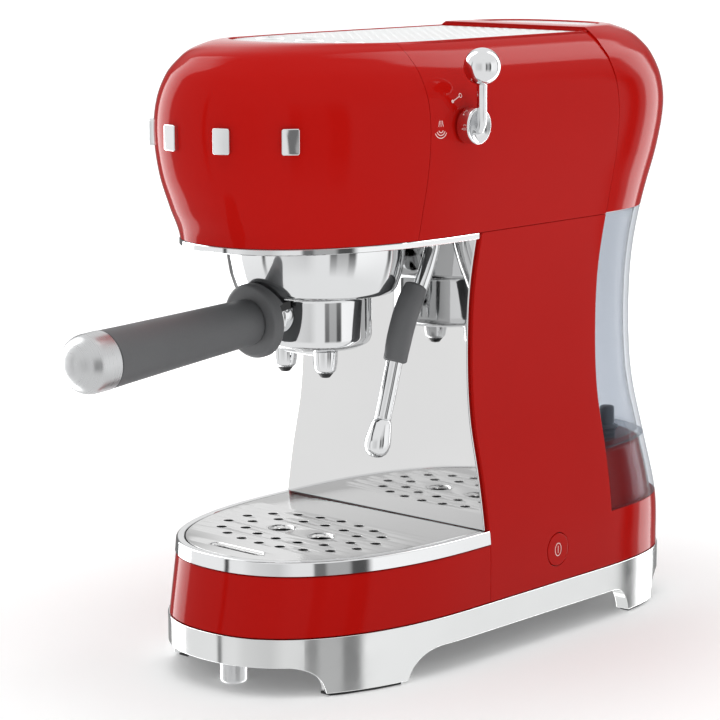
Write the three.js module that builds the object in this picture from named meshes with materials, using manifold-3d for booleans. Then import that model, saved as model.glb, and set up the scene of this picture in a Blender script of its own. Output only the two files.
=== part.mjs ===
// Pump espresso machine with a waisted column, a rounded head, a wrap-around water tank,
// a locked-in filter holder, a steam wand on a side lever and a pull-out drip tray.
// Millimetres, +Z up, the machine looks along -Y and its right side is +X.

import * as THREE from 'three';
import { mergeVertices } from 'three/addons/utils/BufferGeometryUtils.js';
import Module from 'manifold-3d';

const wasm = await Module();
wasm.setup();

// ---------- driving dimensions ----------

const GAP = 0.3; // clearance between neighbouring pieces
const WALL = 2.6; // casing thickness

// Heights above the worktop.
const PAD_TOP = 1.3;
const RING_BAND_LOW = 16;
const RING_TOP = 31;
const RIM_LOW = 62.5;
const TRAY_TOP = 70;
const TANK_FLOOR = 97;
const TRIM_LOW = 225.4;
const HEAD_LOW = 228.7;
const PLATE_TOP = 327.6;

// Depths: the backsplash is the plane y = 0.
const COLUMN_FRONT = 2.8;
const COVER_SEAM = -46;
const TANK_SEAM = 110;
const FRONT_CENTRE = -10; // where the straight flanks start to round towards the front
const REAR_CENTRE = 90; // and towards the rear
const FRONT_POWER = 2.3; // superellipse powers of the two rounded ends
const REAR_POWER = 3.1;

// Body section: [height, reach] for the half width, the front tip and the rear tip.
const SIDE = [[30, 74.6], [62, 74.2], [96, 69.4], [130, 62.8], [165, 60.8], [200, 62.2],
  [240, 69], [262, 73], [283, 74.6], [300, 72.8], [313, 67], [320, 61], [325, 55.5], [329, 49.5]];
const FRONT = [[30, -137.4], [70, -131], [228, -129.5], [245, -136], [262, -142], [283, -145],
  [300, -143.5], [313, -138.8], [320, -133], [325, -126], [329, -112]];
const REAR = [[30, 193.6], [60, 192], [100, 182], [140, 175.2], [190, 173.8], [228, 177],
  [262, 187], [285, 192], [300, 190.6], [313, 186], [320, 181], [325, 174], [329, 160]];

// Coffee group and filter holder.
const GROUP = { x: 0, y: -52.5 };
const COLLAR_LOW = 198;
const HOLDER_LOW = 169;
const SPOUT_LOW = 154;
const HANDLE_START = { y: -102, z: 187 };
const HANDLE_DROOP = 3.7; // degrees below level

// Steam side.
const LEVER = { x: 74.9, y: -20, z: 286.2 };
const WAND = { x: 45, y: -11 };

// Tank valve and power button.
const VALVE = { x: 42, y: 147 };
const POWER = { x: 74, y: 60.4, z: 49.4 };

// Control buttons on the panel.
const BUTTON_Y = -57;
const BUTTON_PITCH = 28;
const BUTTON_RADIUS = 7.5;

// ---------- materials ----------

const finish = (color, roughness, metalness, extra = {}) =>
  new THREE.MeshStandardMaterial({ color, roughness, metalness, flatShading: true, ...extra });

const RED = finish('#b5151a', 0.18, 0);
const CHROME = finish('#d9dbdc', 0.08, 1);
const SATIN = finish('#b9bbbc', 0.35, 1);
const STEEL = finish('#c6c7c8', 0.25, 1);
const GREY = finish('#636466', 0.55, 0);
const BLACK = finish('#1b1b1c', 0.5, 0);
const RUBBER = finish('#242424', 0.85, 0);
const SMOKE = finish('#9aa3ab', 0.1, 0, { transparent: true, opacity: 0.4 });
const BRASS = finish('#b08d4a', 0.35, 1);
const ALUMINIUM = finish('#a9abad', 0.45, 1);
const WHITE = finish('#e8e8e4', 0.4, 0);
const GREEN = finish('#1e6b43', 0.5, 0);

// ---------- shape tools ----------

// A closed geometry as a solid, with shared vertices merged and its faces pointing out.
function solid(geometry) {
  const bare = geometry.index ? geometry.toNonIndexed() : geometry.clone();
  for (const key of ['normal', 'uv']) bare.deleteAttribute(key);
  const merged = mergeVertices(bare, 1e-3);
  const triangles = [];
  for (let i = 0; i < merged.index.count; i += 3) {
    const [a, b, c] = [0, 1, 2].map((k) => merged.index.getX(i + k));
    if (a !== b && b !== c && c !== a) triangles.push(a, b, c);
  }
  const build = (triVerts) => new wasm.Manifold(new wasm.Mesh({
    numProp: 3, vertProperties: merged.attributes.position.array, triVerts: new Uint32Array(triVerts),
  }));
  const made = build(triangles);
  return made.volume() > 0 ? made : build(triangles.reverse());
}

const join = (...solids) => solids.reduce((sum, next) => sum.add(next));
const cut = (base, ...tools) => tools.reduce((rest, tool) => rest.subtract(tool), base);

function geometryOf(shape) {
  const mesh = shape.getMesh();
  const geometry = new THREE.BufferGeometry();
  const position = new Float32Array(mesh.numVert * 3);
  for (let i = 0; i < mesh.numVert; i += 1) {
    for (let k = 0; k < 3; k += 1) {
      position[3 * i + k] = mesh.vertProperties[mesh.numProp * i + k];
    }
  }
  geometry.setAttribute('position', new THREE.BufferAttribute(position, 3));
  geometry.setIndex(new THREE.BufferAttribute(new Uint32Array(mesh.triVerts), 1));
  geometry.computeVertexNormals();
  return geometry;
}

// Smooth curve through [height, value] pairs, with slopes taken from the neighbours.
function curveThrough(points) {
  const slope = (i) => {
    const before = points[Math.max(i - 1, 0)];
    const after = points[Math.min(i + 1, points.length - 1)];
    return (after[1] - before[1]) / (after[0] - before[0]);
  };
  return (z) => {
    const found = points.findIndex(([height]) => height >= z);
    const i = Math.min(Math.max(found < 0 ? points.length - 1 : found, 1), points.length - 1);
    const [z0, v0] = points[i - 1];
    const [z1, v1] = points[i];
    const t = Math.min(Math.max((z - z0) / (z1 - z0), 0), 1);
    const span = z1 - z0;
    const h = [2 * t ** 3 - 3 * t ** 2 + 1, t ** 3 - 2 * t ** 2 + t, 3 * t ** 2 - 2 * t ** 3, t ** 3 - t ** 2];
    return h[0] * v0 + h[1] * span * slope(i - 1) + h[2] * v1 + h[3] * span * slope(i);
  };
}

const sideAt = curveThrough(SIDE);
const frontAt = curveThrough(FRONT);
const rearAt = curveThrough(REAR);

// One rounded end of a plan outline: half a superellipse, from its right side to its left.
function roundedEnd(halfWidth, centre, tip, power, steps) {
  const points = [];
  for (let i = 0; i <= 2 * steps; i += 1) {
    const angle = (Math.PI * i) / (2 * steps);
    const c = Math.cos(angle);
    const x = halfWidth * Math.sign(c) * Math.abs(c) ** (2 / power);
    const y = centre + (tip - centre) * Math.abs(Math.sin(angle)) ** (2 / power);
    points.push(new THREE.Vector2(Math.abs(c) < 1e-9 ? 0 : x, y));
  }
  return points;
}

// The body's plan outline at a height, pulled in by an inset, anticlockwise from above.
function outline(z, inset = 0, steps = 9) {
  const w = sideAt(z) - inset;
  const rear = roundedEnd(w, REAR_CENTRE, rearAt(z) - inset, REAR_POWER, steps);
  const front = roundedEnd(w, FRONT_CENTRE, frontAt(z) + inset, FRONT_POWER, steps);
  return [...rear, ...front.reverse()];
}

// A closed solid through stacked plan sections: [{ z, points }], lowest first.
function loft(sections) {
  const count = sections[0].points.length;
  const position = [];
  const index = [];
  for (const { z, points } of sections) {
    for (const p of points) position.push(p.x, p.y, z);
  }
  for (let level = 0; level + 1 < sections.length; level += 1) {
    for (let i = 0; i < count; i += 1) {
      const a = level * count + i;
      const b = level * count + ((i + 1) % count);
      index.push(a, b, b + count, a, b + count, a + count);
    }
  }
  const cap = (level, flip) => {
    const { z, points } = sections[level];
    const middle = points.reduce((sum, p) => sum.add(p), new THREE.Vector2()).divideScalar(count);
    const centre = position.length / 3;
    position.push(middle.x, middle.y, z);
    for (let i = 0; i < count; i += 1) {
      const a = level * count + i;
      const b = level * count + ((i + 1) % count);
      index.push(...(flip ? [centre, b, a] : [centre, a, b]));
    }
  };
  cap(0, true);
  cap(sections.length - 1, false);
  const geometry = new THREE.BufferGeometry();
  geometry.setAttribute('position', new THREE.Float32BufferAttribute(position, 3));
  geometry.setIndex(index);
  return solid(geometry);
}

// The body between heights, pulled in by an inset. Its top comes down by drop, for an inner skin.
function body(heights, inset = 0, drop = 0) {
  const low = heights[0];
  const high = heights.at(-1);
  return loft(heights.map((z) => ({
    z: z - (drop * (z - low)) / (high - low), points: outline(z, inset),
  })));
}

const block = (x0, x1, y0, y1, z0, z1) => solid(
  new THREE.BoxGeometry(x1 - x0, y1 - y0, z1 - z0)
    .translate((x0 + x1) / 2, (y0 + y1) / 2, (z0 + z1) / 2),
);
const slab = (y0, y1, z0, z1) => block(-200, 200, y0, y1, z0, z1);

// Turned solid about Z from [radius, height] pairs, lowest first.
function turned(profile, x = 0, y = 0, segments = 24) {
  const points = profile.map(([r, z]) => new THREE.Vector2(r, z));
  return solid(new THREE.LatheGeometry(points, segments).rotateX(Math.PI / 2).translate(x, y, 0));
}

// Ring about Z: an outer and an inner profile, both lowest first, closed on each other.
const ringAbout = (outer, inner, x = 0, y = 0, segments = 24) =>
  turned([...outer, ...[...inner].reverse(), outer[0]], x, y, segments);

const rod = (radius, z0, z1, x = 0, y = 0, segments = 16) =>
  turned([[0, z0], [radius, z0], [radius, z1], [0, z1]], x, y, segments);

// Rod along X.
const crossRod = (radius, x0, x1, y, z, segments = 20) => solid(
  new THREE.CylinderGeometry(radius, radius, x1 - x0, segments)
    .rotateZ(Math.PI / 2).translate((x0 + x1) / 2, y, z),
);

// Profile drawn in (y, z), extruded along X.
function sideProfile(shape, x0, x1) {
  const frame = new THREE.Matrix4().makeBasis(
    new THREE.Vector3(0, 1, 0), new THREE.Vector3(0, 0, 1), new THREE.Vector3(1, 0, 0),
  );
  const geometry = new THREE.ExtrudeGeometry(shape, {
    depth: x1 - x0, bevelEnabled: false, curveSegments: 5,
  });
  return solid(geometry.applyMatrix4(frame).translate(x0, 0, 0));
}

// Profile drawn in (x, y), extruded upwards.
function plateOf(shape, z0, z1, curveSegments = 6) {
  const geometry = new THREE.ExtrudeGeometry(shape, {
    depth: z1 - z0, bevelEnabled: false, curveSegments,
  });
  return solid(geometry.translate(0, 0, z0));
}

// Round tube or rod along a curve through points.
function swept(points, radius, steps = 14, sides = 12) {
  const path = new THREE.CatmullRomCurve3(points.map((p) => new THREE.Vector3(...p)));
  const section = new THREE.Shape();
  section.absarc(0, 0, radius, 0, 2 * Math.PI);
  return solid(new THREE.ExtrudeGeometry(section, {
    steps, extrudePath: path, bevelEnabled: false, curveSegments: sides / 2,
  }));
}

const machine = new THREE.Group();

function piece(name, shape, material, parent = machine) {
  const mesh = new THREE.Mesh(shape.isBufferGeometry ? shape : geometryOf(shape), material);
  mesh.name = name;
  parent.add(mesh);
  return mesh;
}

// ---------- base: chrome skirt on four feet, bottom plate ----------

const ringSections = (inset) => loft([0, RING_TOP].map((z) => ({ z, points: outline(30, inset) })));

function footCuts() {
  const front = new THREE.Shape();
  front.moveTo(-200, -1);
  front.lineTo(-105, -1);
  front.lineTo(-105, PAD_TOP + GAP);
  front.quadraticCurveTo(-107, RING_BAND_LOW - 2, -120, RING_BAND_LOW);
  front.lineTo(-200, RING_BAND_LOW);
  const between = new THREE.Shape();
  between.moveTo(-60, -1);
  between.lineTo(127, -1);
  between.lineTo(127, PAD_TOP + GAP);
  between.quadraticCurveTo(124, RING_BAND_LOW - 1, 113, RING_BAND_LOW);
  between.lineTo(-37, RING_BAND_LOW);
  between.quadraticCurveTo(-55, RING_BAND_LOW - 1, -60, PAD_TOP + GAP);
  const rear = new THREE.Shape();
  rear.moveTo(155, -1);
  rear.lineTo(240, -1);
  rear.lineTo(240, RING_BAND_LOW);
  rear.lineTo(168, RING_BAND_LOW);
  rear.quadraticCurveTo(158, RING_BAND_LOW - 1, 155, PAD_TOP + GAP);
  return [front, between, rear].map((shape) => sideProfile(shape, -100, 100));
}

const skirt = cut(
  ringSections(-0.7),
  loft([-1, RING_TOP + 1].map((z) => ({ z, points: outline(30, 8) }))),
  slab(-200, 240, -1, PAD_TOP + GAP),
  ...footCuts(),
);
piece('base_skirt', skirt, CHROME);

const PAD_SPANS = { front: [-102, -63], rear: [130, 152] };
const padWall = cut(
  loft([0, PAD_TOP].map((z) => ({ z, points: outline(30, 1) }))),
  loft([-1, PAD_TOP + 1].map((z) => ({ z, points: outline(30, 6.5) }))),
);
for (const [end, [y0, y1]] of Object.entries(PAD_SPANS)) {
  for (const [hand, x0, x1] of [['left', -90, 0], ['right', 0, 90]]) {
    piece(`foot_pad_${end}_${hand}`, padWall.intersect(block(x0, x1, y0, y1, -1, 5)), RUBBER);
  }
}

const BOTTOM_LOW = 18;
const BOTTOM_TOP = 21;
const bottomPlate = loft([BOTTOM_LOW, BOTTOM_TOP].map((z) => ({ z, points: outline(30, 8 + GAP) })));
piece('bottom_plate', bottomPlate, BLACK);

piece('front_support_foot', turned([
  [0, 0], [7.6, 0], [8.2, 0.8], [8.2, 3], [7, 4], [7, BOTTOM_LOW - GAP], [0, BOTTOM_LOW - GAP],
], 0, -116, 20), SATIN);

// ---------- drip tray: shell, rim, tub, grid ----------

const TRAY_LOW = RING_TOP + GAP;
const TRAY_REAR = COLUMN_FRONT - GAP;
const trayHeights = [TRAY_LOW, 46, RIM_LOW - GAP];
const trayShell = cut(
  body(trayHeights).intersect(slab(-200, TRAY_REAR, 0, 100)),
  body([TRAY_LOW + WALL, 46, RIM_LOW + 1], WALL).intersect(slab(-200, -0.2, 0, 100)),
);
piece('tray_shell', trayShell, RED);

const TUB_TOP = 67.3;
const TUB_INSET = 4;
const tubOuter = body([TRAY_LOW + WALL + GAP, 46, TUB_TOP], TUB_INSET)
  .intersect(slab(-200, -0.6, 0, 100));
const tubInner = body([TRAY_LOW + WALL + 2.2, 46, TUB_TOP + 1], TUB_INSET + 1.8)
  .intersect(slab(-200, -2.6, 0, 100));
piece('tray_tub', cut(tubOuter, tubInner), GREY);

const rimBand = cut(
  body([RIM_LOW, TRAY_TOP], -0.5).intersect(slab(-200, TRAY_REAR, 0, 100)),
  body([RIM_LOW - 1, TRAY_TOP + 1], TUB_INSET - GAP).intersect(slab(-200, -0.2, 0, 100)),
);
piece('tray_rim', rimBand, CHROME);

// Grid holes: two dimpled drain holes under the spouts, two rings of small holes round them.
const DRAIN_CENTRES = [[-14.2, -64.7], [14.2, -64.7]];
const SMALL_HOLES = [[39.4, -84.6], [46.5, -72.1], [46.5, -57.6], [39.4, -45.1], [27.5, -37.7],
  [14, -34.5], [0, -33.1], [0, -96.6], [13.8, -95.4], [27.4, -92.1], [28.4, -77.5], [35.6, -64.9],
  [28.4, -52.2], [14.6, -47.2], [0, -45.9], [0, -83.9], [14.5, -82.7]];

function dripGrid() {
  const top = TRAY_TOP;
  const low = TUB_TOP + GAP;
  const plate = body([low, top], TUB_INSET + GAP).intersect(slab(-200, -0.5, 0, 100));
  const drains = DRAIN_CENTRES.flatMap(([x, y]) => [
    rod(6.2, low - 1, top + 1, x, y, 16),
    turned([[0, low + 0.8], [6.2, low + 0.8], [8.2, top + 0.01], [8.2, top + 1], [0, top + 1]], x, y, 16),
  ]);
  const small = SMALL_HOLES.flatMap(([x, y]) => (x === 0 ? [x] : [x, -x])
    .map((across) => rod(2.7, low - 1, top + 1, across, y, 6)));
  const slot = new THREE.Shape();
  slot.absarc(-15, -113, 3, Math.PI / 2, (3 * Math.PI) / 2);
  slot.absarc(15, -113, 3, -Math.PI / 2, Math.PI / 2);
  return cut(plate, ...drains, ...small, plateOf(slot, low - 1, top + 1));
}
piece('drip_grid', dripGrid(), STEEL);

// ---------- column: red shell with a raised seat for the tank, polished backsplash ----------

const COLUMN_LOW = RING_TOP + GAP;
const COLUMN_TOP = HEAD_LOW - GAP;
const SEAT_TOP = 94.5;
const SKIRT_LOW = 62.3;
const columnHeights = [COLUMN_LOW, 62, 80, 96, 113, 130, 150, 175, 200, COLUMN_TOP];

function columnShell() {
  const skin = body(columnHeights).intersect(slab(COLUMN_FRONT, 300, 0, 300));
  const tankSpace = body([SKIRT_LOW - GAP, 80, 96, 113, 130, 150, 175, 200, 232], -5)
    .intersect(slab(TANK_SEAM, 300, 0, 300));
  const seat = body([COLUMN_LOW + 10, 80, SEAT_TOP], 6.4).intersect(slab(TANK_SEAM - 4, 300, 0, 300));
  const hollow = body([COLUMN_LOW - 1, 62, 80, 96, 113, 130, 150, 175, 200, COLUMN_TOP + 1], WALL)
    .intersect(slab(COLUMN_FRONT + WALL, TANK_SEAM - WALL, 0, 300));
  const seatHollow = body([COLUMN_LOW - 1, 62, 80, SEAT_TOP - WALL], 9)
    .intersect(slab(TANK_SEAM - WALL - 2, 300, 0, 300));
  const valveHole = rod(8, SEAT_TOP - WALL - 1, SEAT_TOP + 1, VALVE.x, VALVE.y);
  const switchHole = crossRod(9.4, 60, 80, POWER.y, POWER.z);
  const cableHole = solid(new THREE.CylinderGeometry(6.2, 6.2, 30, 16).translate(-35, 185, 45));
  return cut(join(cut(skin, tankSpace), seat), hollow, seatHollow, valveHole, switchHole, cableHole);
}
piece('column_shell', columnShell(), RED);

// The splash plate is a little narrower than the column, and follows its waist.
const splashOutline = (z) => sideAt(z) - 1.8;
function backsplash() {
  const heights = [TRAY_TOP + GAP, 85, 100, 115, 130, 150, 170, 190, 208, HEAD_LOW - 1];
  const half = heights.map((z) => new THREE.Vector2(splashOutline(z), z));
  const mirrored = half.map((p) => new THREE.Vector2(-p.x, p.y)).reverse();
  const shape = new THREE.Shape([...half, ...mirrored]);
  const geometry = new THREE.ExtrudeGeometry(shape, { depth: COLUMN_FRONT - GAP, bevelEnabled: false });
  return solid(geometry.rotateX(Math.PI / 2).translate(0, COLUMN_FRONT - GAP, 0));
}
piece('backsplash', backsplash(), CHROME);

// ---------- head: main shell, front cover, tank lid, trim and under plate ----------

const headHeights = [HEAD_LOW, 240, 252, 264, 276, 288, 298, 306, 313, 319, 324, 327, 329];

// Outline of the steel top, a rounded front end on straight flanks.
function topOutline(inset) {
  const front = roundedEnd(51 - inset, 0, -96 + inset, 2.6, 8).map((p) => [p.x, p.y]);
  const rear = TANK_SEAM - 1.2 - inset;
  const points = [...front, [-51 + inset, rear], [51 - inset, rear]];
  return new THREE.Shape(points.map(([x, y]) => new THREE.Vector2(x, y)));
}

const headSkin = body(headHeights);
const headHollow = body([HEAD_LOW - 1, ...headHeights.slice(1)], WALL, 4);
const topRecess = join(
  plateOf(topOutline(0), PLATE_TOP - 2.7, 335),
  plateOf(topOutline(5), PLATE_TOP - 12, 335),
);

const leverHole = crossRod(4.4, 60, 90, LEVER.y, LEVER.z, 16);
const headShell = cut(
  headSkin.intersect(slab(COVER_SEAM + GAP / 2, TANK_SEAM - GAP / 2, 0, 400)),
  headHollow.intersect(slab(-200, TANK_SEAM - WALL, 0, 400)),
  topRecess,
  leverHole,
);
piece('head_shell', headShell, RED);

const frontCover = cut(
  headSkin.intersect(slab(-200, COVER_SEAM - GAP / 2, 0, 400)), headHollow, topRecess,
);
piece('head_front_cover', frontCover, RED);

const TRIM_REAR = -GAP;
const trimRing = cut(
  loft([TRIM_LOW, HEAD_LOW - GAP].map((z) => ({ z, points: outline(HEAD_LOW, -0.4) }))),
  loft([TRIM_LOW - 1, HEAD_LOW + 1].map((z) => ({ z, points: outline(HEAD_LOW, 4) }))),
);
piece('head_trim', trimRing.intersect(slab(-200, TRIM_REAR, 0, 400)), CHROME);

const underPlate = cut(
  loft([TRIM_LOW + 0.6, HEAD_LOW - GAP].map((z) => ({ z, points: outline(HEAD_LOW, 4 + GAP) })))
    .intersect(slab(-200, TRIM_REAR, 0, 400)),
  rod(47.6, TRIM_LOW - 1, HEAD_LOW + 1, GROUP.x, GROUP.y, 40),
  rod(6.5, TRIM_LOW - 1, HEAD_LOW + 1, WAND.x, WAND.y, 20),
);
piece('head_under_plate', underPlate, BLACK);

const LID_RISE = 1.4;
const lidSkin = body(headHeights, 0, -LID_RISE);
const lidHollow = body([HEAD_LOW - 1, ...headHeights.slice(1)], WALL, 3)
  .intersect(slab(TANK_SEAM + WALL, 300, 0, 400));
const LID_INSERT_LOW = 328;
function lidInsertOutline(inset) {
  const rear = roundedEnd(40 - inset, 128 + inset, 166 - inset, 2.4, 8);
  return new THREE.Shape(rear);
}
const tankLid = cut(
  lidSkin.intersect(slab(TANK_SEAM + GAP / 2, 300, HEAD_LOW + 0.6, 400)),
  lidHollow,
  plateOf(lidInsertOutline(0), LID_INSERT_LOW, 340),
);
piece('tank_lid', tankLid, RED);
piece('lid_insert', plateOf(lidInsertOutline(GAP), LID_INSERT_LOW + GAP, LID_INSERT_LOW + 1.6), STEEL);

// ---------- steel top: control panel, buttons, lamp, cup plate ----------

const PANEL_REAR = -36;
const topPlate = plateOf(topOutline(GAP), PLATE_TOP - 2.4, PLATE_TOP);
const buttonPlaces = [-1, 0, 1].map((i) => i * BUTTON_PITCH);
const LAMP = { x: 0, y: -84, r: 2.4 };
const panel = cut(
  topPlate.intersect(slab(-200, PANEL_REAR - GAP / 2, 0, 400)),
  ...buttonPlaces.map((x) => rod(BUTTON_RADIUS + GAP, 320, 330, x, BUTTON_Y)),
  rod(LAMP.r + GAP, 320, 330, LAMP.x, LAMP.y, 16),
);
piece('control_panel', panel, STEEL);
piece('cup_plate', topPlate.intersect(slab(PANEL_REAR + GAP / 2, 200, 0, 400)), STEEL);

const BUTTON_NAMES = ['one_cup_button', 'two_cup_button', 'steam_button'];
for (const [i, x] of buttonPlaces.entries()) {
  const button = piece(BUTTON_NAMES[i], turned([
    [0, 319], [2.5, 319], [2.5, 322.2], [BUTTON_RADIUS + 1.6, 322.2], [BUTTON_RADIUS + 1.6, 323.6],
    [BUTTON_RADIUS, 323.6], [BUTTON_RADIUS, 328], [BUTTON_RADIUS - 0.6, 328.4], [0, 328.4],
  ], 0, 0, 16), CHROME);
  button.position.set(x, BUTTON_Y, 0);
}
piece('ready_lamp', rod(LAMP.r, 319, PLATE_TOP + 0.2, LAMP.x, LAMP.y, 16), WHITE);
piece('keypad_board', block(-40, 40, -90, -46, 314.5, 316.5), GREEN);

// ---------- water tank, valve, seat ring ----------

const tankHeights = [SKIRT_LOW, 80, 96, 113, 130, 150, 175, 200, HEAD_LOW - 0.2];
function waterTank() {
  const skin = body(tankHeights).intersect(slab(TANK_SEAM + GAP, 300, 0, 400));
  const inside = body([TANK_FLOOR + WALL, 113, 130, 150, 175, 200, HEAD_LOW + 2], WALL)
    .intersect(slab(TANK_SEAM + GAP + WALL, 300, 0, 400));
  const under = body([SKIRT_LOW - 1, 80, TANK_FLOOR], WALL);
  return cut(skin, inside, under, rod(5.3, 90, 105, VALVE.x, VALVE.y));
}
piece('water_tank', waterTank(), SMOKE);
piece('tank_valve', turned([
  [0, 91], [4.9, 91], [4.9, TANK_FLOOR + WALL + GAP], [7.5, TANK_FLOOR + WALL + GAP], [7.5, 111],
  [5, 113], [0, 113],
], VALVE.x, VALVE.y, 20), BLACK);
piece('tank_seat_ring', ringAbout(
  [[7.7, 88], [7.7, SEAT_TOP - GAP]], [[5.6, 88], [5.6, SEAT_TOP - GAP]], VALVE.x, VALVE.y, 24,
), RUBBER);

// ---------- coffee group ----------

piece('group_collar', ringAbout(
  [[41, COLLAR_LOW], [42.6, 200], [45.2, 208], [46.6, 217], [47, 225], [47, 233]],
  [[39, COLLAR_LOW], [39, 213], [42, 216], [42, 233]],
  GROUP.x, GROUP.y, 32,
), CHROME);
piece('group_head', turned([
  [0, 217], [26, 217], [26, 214], [38, 214], [38, 216.6], [41.6, 218], [41.6, 233], [0, 233],
], GROUP.x, GROUP.y), BRASS);
piece('group_gasket', ringAbout(
  [[33, 209.6], [33, 213.7]], [[27, 209.6], [27, 213.7]], GROUP.x, GROUP.y,
), RUBBER);
piece('shower_screen', turned(
  [[0, 212.2], [25.6, 212.2], [25.6, 216.7], [0, 216.7]], GROUP.x, GROUP.y,
), STEEL);

// Bayonet ring: three ledges hold the holder's ears, and the openings let them drop at 45 degrees.
const EAR_ANGLES = [30, 150, 270];
const LOCK_TURN = -45;
function wedge(radius, z0, z1, middle, halfAngle) {
  const shape = new THREE.Shape();
  const start = THREE.MathUtils.degToRad(middle - halfAngle);
  const end = THREE.MathUtils.degToRad(middle + halfAngle);
  shape.moveTo(0, 0);
  shape.lineTo(radius * Math.cos(start), radius * Math.sin(start));
  shape.absarc(0, 0, radius, start, end);
  return plateOf(shape, z0, z1).translate([GROUP.x, GROUP.y, 0]);
}
const bayonet = cut(
  ringAbout([[38.6, 199], [38.6, 202.4]], [[35.2, 199], [35.2, 202.4]], GROUP.x, GROUP.y),
  ...EAR_ANGLES.map((angle) => cut(
    wedge(50, 198, 201, angle + LOCK_TURN, 15), rod(37, 190, 210, GROUP.x, GROUP.y),
  )),
);
piece('bayonet_ring', bayonet, ALUMINIUM);

// ---------- filter holder ----------

const HOLDER_RADIUS = 29.2;
function holderBody() {
  const bowl = turned([
    [0, HOLDER_LOW], [24.5, HOLDER_LOW], [28, 171], [HOLDER_RADIUS, 174], [HOLDER_RADIUS, 196],
    [34.4, 199.5], [34.4, 207.8], [0, 207.8],
  ], GROUP.x, GROUP.y, 32);
  const ears = EAR_ANGLES.map((angle) => cut(
    wedge(38, 203, 206.4, angle, 12), rod(33, 190, 210, GROUP.x, GROUP.y),
  ));
  const well = turned([[0, 174], [27.3, 174], [27.3, 205.9], [31.5, 205.9], [31.5, 210], [0, 210]],
    GROUP.x, GROUP.y);
  const drain = rod(4, 160, 180, GROUP.x, GROUP.y, 12);
  return cut(join(bowl, ...ears), well, drain);
}
piece('holder_body', holderBody(), CHROME);

piece('filter_basket', cut(
  turned([[0, 182], [25, 182], [26.9, 184], [26.9, 206.3], [31, 206.3], [31, 207.6], [0, 207.6]],
    GROUP.x, GROUP.y),
  turned([[0, 183], [24.6, 183], [26, 184.6], [26, 210], [0, 210]], GROUP.x, GROUP.y),
), STEEL);

const SPOUT_X = 14.4;
const SPOUT_Y = -61;
function spoutBlock() {
  const arm = new THREE.Shape();
  arm.absarc(-SPOUT_X, 0, 6.6, Math.PI / 2, (3 * Math.PI) / 2);
  arm.absarc(SPOUT_X, 0, 6.6, -Math.PI / 2, Math.PI / 2);
  const bridge = plateOf(arm, 162, HOLDER_LOW - GAP).translate([0, SPOUT_Y, 0]);
  const cups = [-SPOUT_X, SPOUT_X].map((x) => turned([
    [0, 157], [5.6, 157], [6.5, 163], [0, 163],
  ], x, SPOUT_Y, 20));
  const bores = [-SPOUT_X, SPOUT_X].map((x) => rod(3.6, 150, 165.5, x, SPOUT_Y, 16));
  return cut(join(bridge, ...cups), ...bores);
}
piece('double_spout', spoutBlock(), CHROME);
for (const [hand, x] of [['left', -SPOUT_X], ['right', SPOUT_X]]) {
  piece(`spout_tip_${hand}`, ringAbout(
    [[4.6, SPOUT_LOW], [5.2, 156.7]], [[3.2, SPOUT_LOW], [3.2, 156.7]], x, SPOUT_Y, 20,
  ), BLACK);
}

// The handle's own frame: its +Y runs out along the grip, and its origin is the guard's front.
const handle = new THREE.Group();
handle.position.set(GROUP.x, HANDLE_START.y, HANDLE_START.z);
handle.rotation.x = THREE.MathUtils.degToRad(180 + HANDLE_DROOP);
machine.add(handle);

const spun = (profile, segments = 20) => solid(
  new THREE.LatheGeometry(profile.map(([r, along]) => new THREE.Vector2(r, along)), segments),
);
const NECK_END = -26; // the neck stops just short of the bowl's wall, which it is welded to
const NECK_RADIUS = 9.2;
handle.updateMatrixWorld(true);
const intoHandle = (shape) => shape.transform(handle.matrixWorld.clone().invert().toArray());
const bowlSpace = intoHandle(rod(HOLDER_RADIUS + GAP, 150, 215, GROUP.x, GROUP.y, 32));
const collarSpace = intoHandle(turned([
  [0, 196.8], [42.5, 196.8], [44, 200], [46.6, 208], [48, 217], [48, 235], [0, 235],
], GROUP.x, GROUP.y, 32));
const handleBlock = (halfWidth, along0, along1, up0, up1) => solid(
  new THREE.BoxGeometry(2 * halfWidth, along1 - along0, up1 - up0)
    .translate(0, (along0 + along1) / 2, -(up0 + up1) / 2),
);
const INSULATOR = { half: 11, along0: -19, along1: -6, up0: 4.4, up1: 8.4 };
const neck = spun([
  [0, NECK_END], [10, NECK_END], [10, -16.5], [NECK_RADIUS, -15], [NECK_RADIUS, -5.6], [0, -5.6],
]);
piece('holder_neck', cut(
  neck, bowlSpace, handleBlock(12, -22, -5, INSULATOR.up0 - GAP, 20),
), CHROME, handle);

// Guard disc with a hood that reaches back over the neck and curves round the collar.
const HOOD_LOW = 8.9;
function guard() {
  const disc = spun([[0, -5.3], [19, -5.3], [20.5, -4], [20.5, -1], [19, 0.6], [0, 0.6]]);
  const hood = cut(
    spun([[0, -17], [19.6, -17], [20.5, -5], [20.5, -3], [0, -3]]),
    spun([[0, -18], [17.2, -18], [18, -5.3], [0, -5.3]]),
    handleBlock(40, -40, 0, -40, HOOD_LOW),
  );
  return cut(join(disc, hood), bowlSpace, collarSpace);
}
piece('handle_guard', guard(), GREY, handle);
const { half, along0, along1, up0, up1 } = INSULATOR;
piece('neck_insulator', cut(handleBlock(half, along0, along1, up0, up1), bowlSpace), BLACK, handle);
piece('handle_grip', spun([
  [0, 0.9], [11.6, 0.9], [12, 3], [13, 45], [14.2, 90], [14.6, 101.6], [0, 101.6],
]), GREY, handle);
const domed = Array.from({ length: 7 }, (_, i) => {
  const angle = (Math.PI / 2) * (i / 6);
  return [14.8 * Math.cos(angle), 111 + 13.6 * Math.sin(angle)];
});
piece('handle_end_cap', spun([[0, 101.9], [14.8, 101.9], ...domed.slice(0, -1), [0, 124.6]]), SATIN, handle);

// ---------- steam lever, valve, wand ----------

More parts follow.
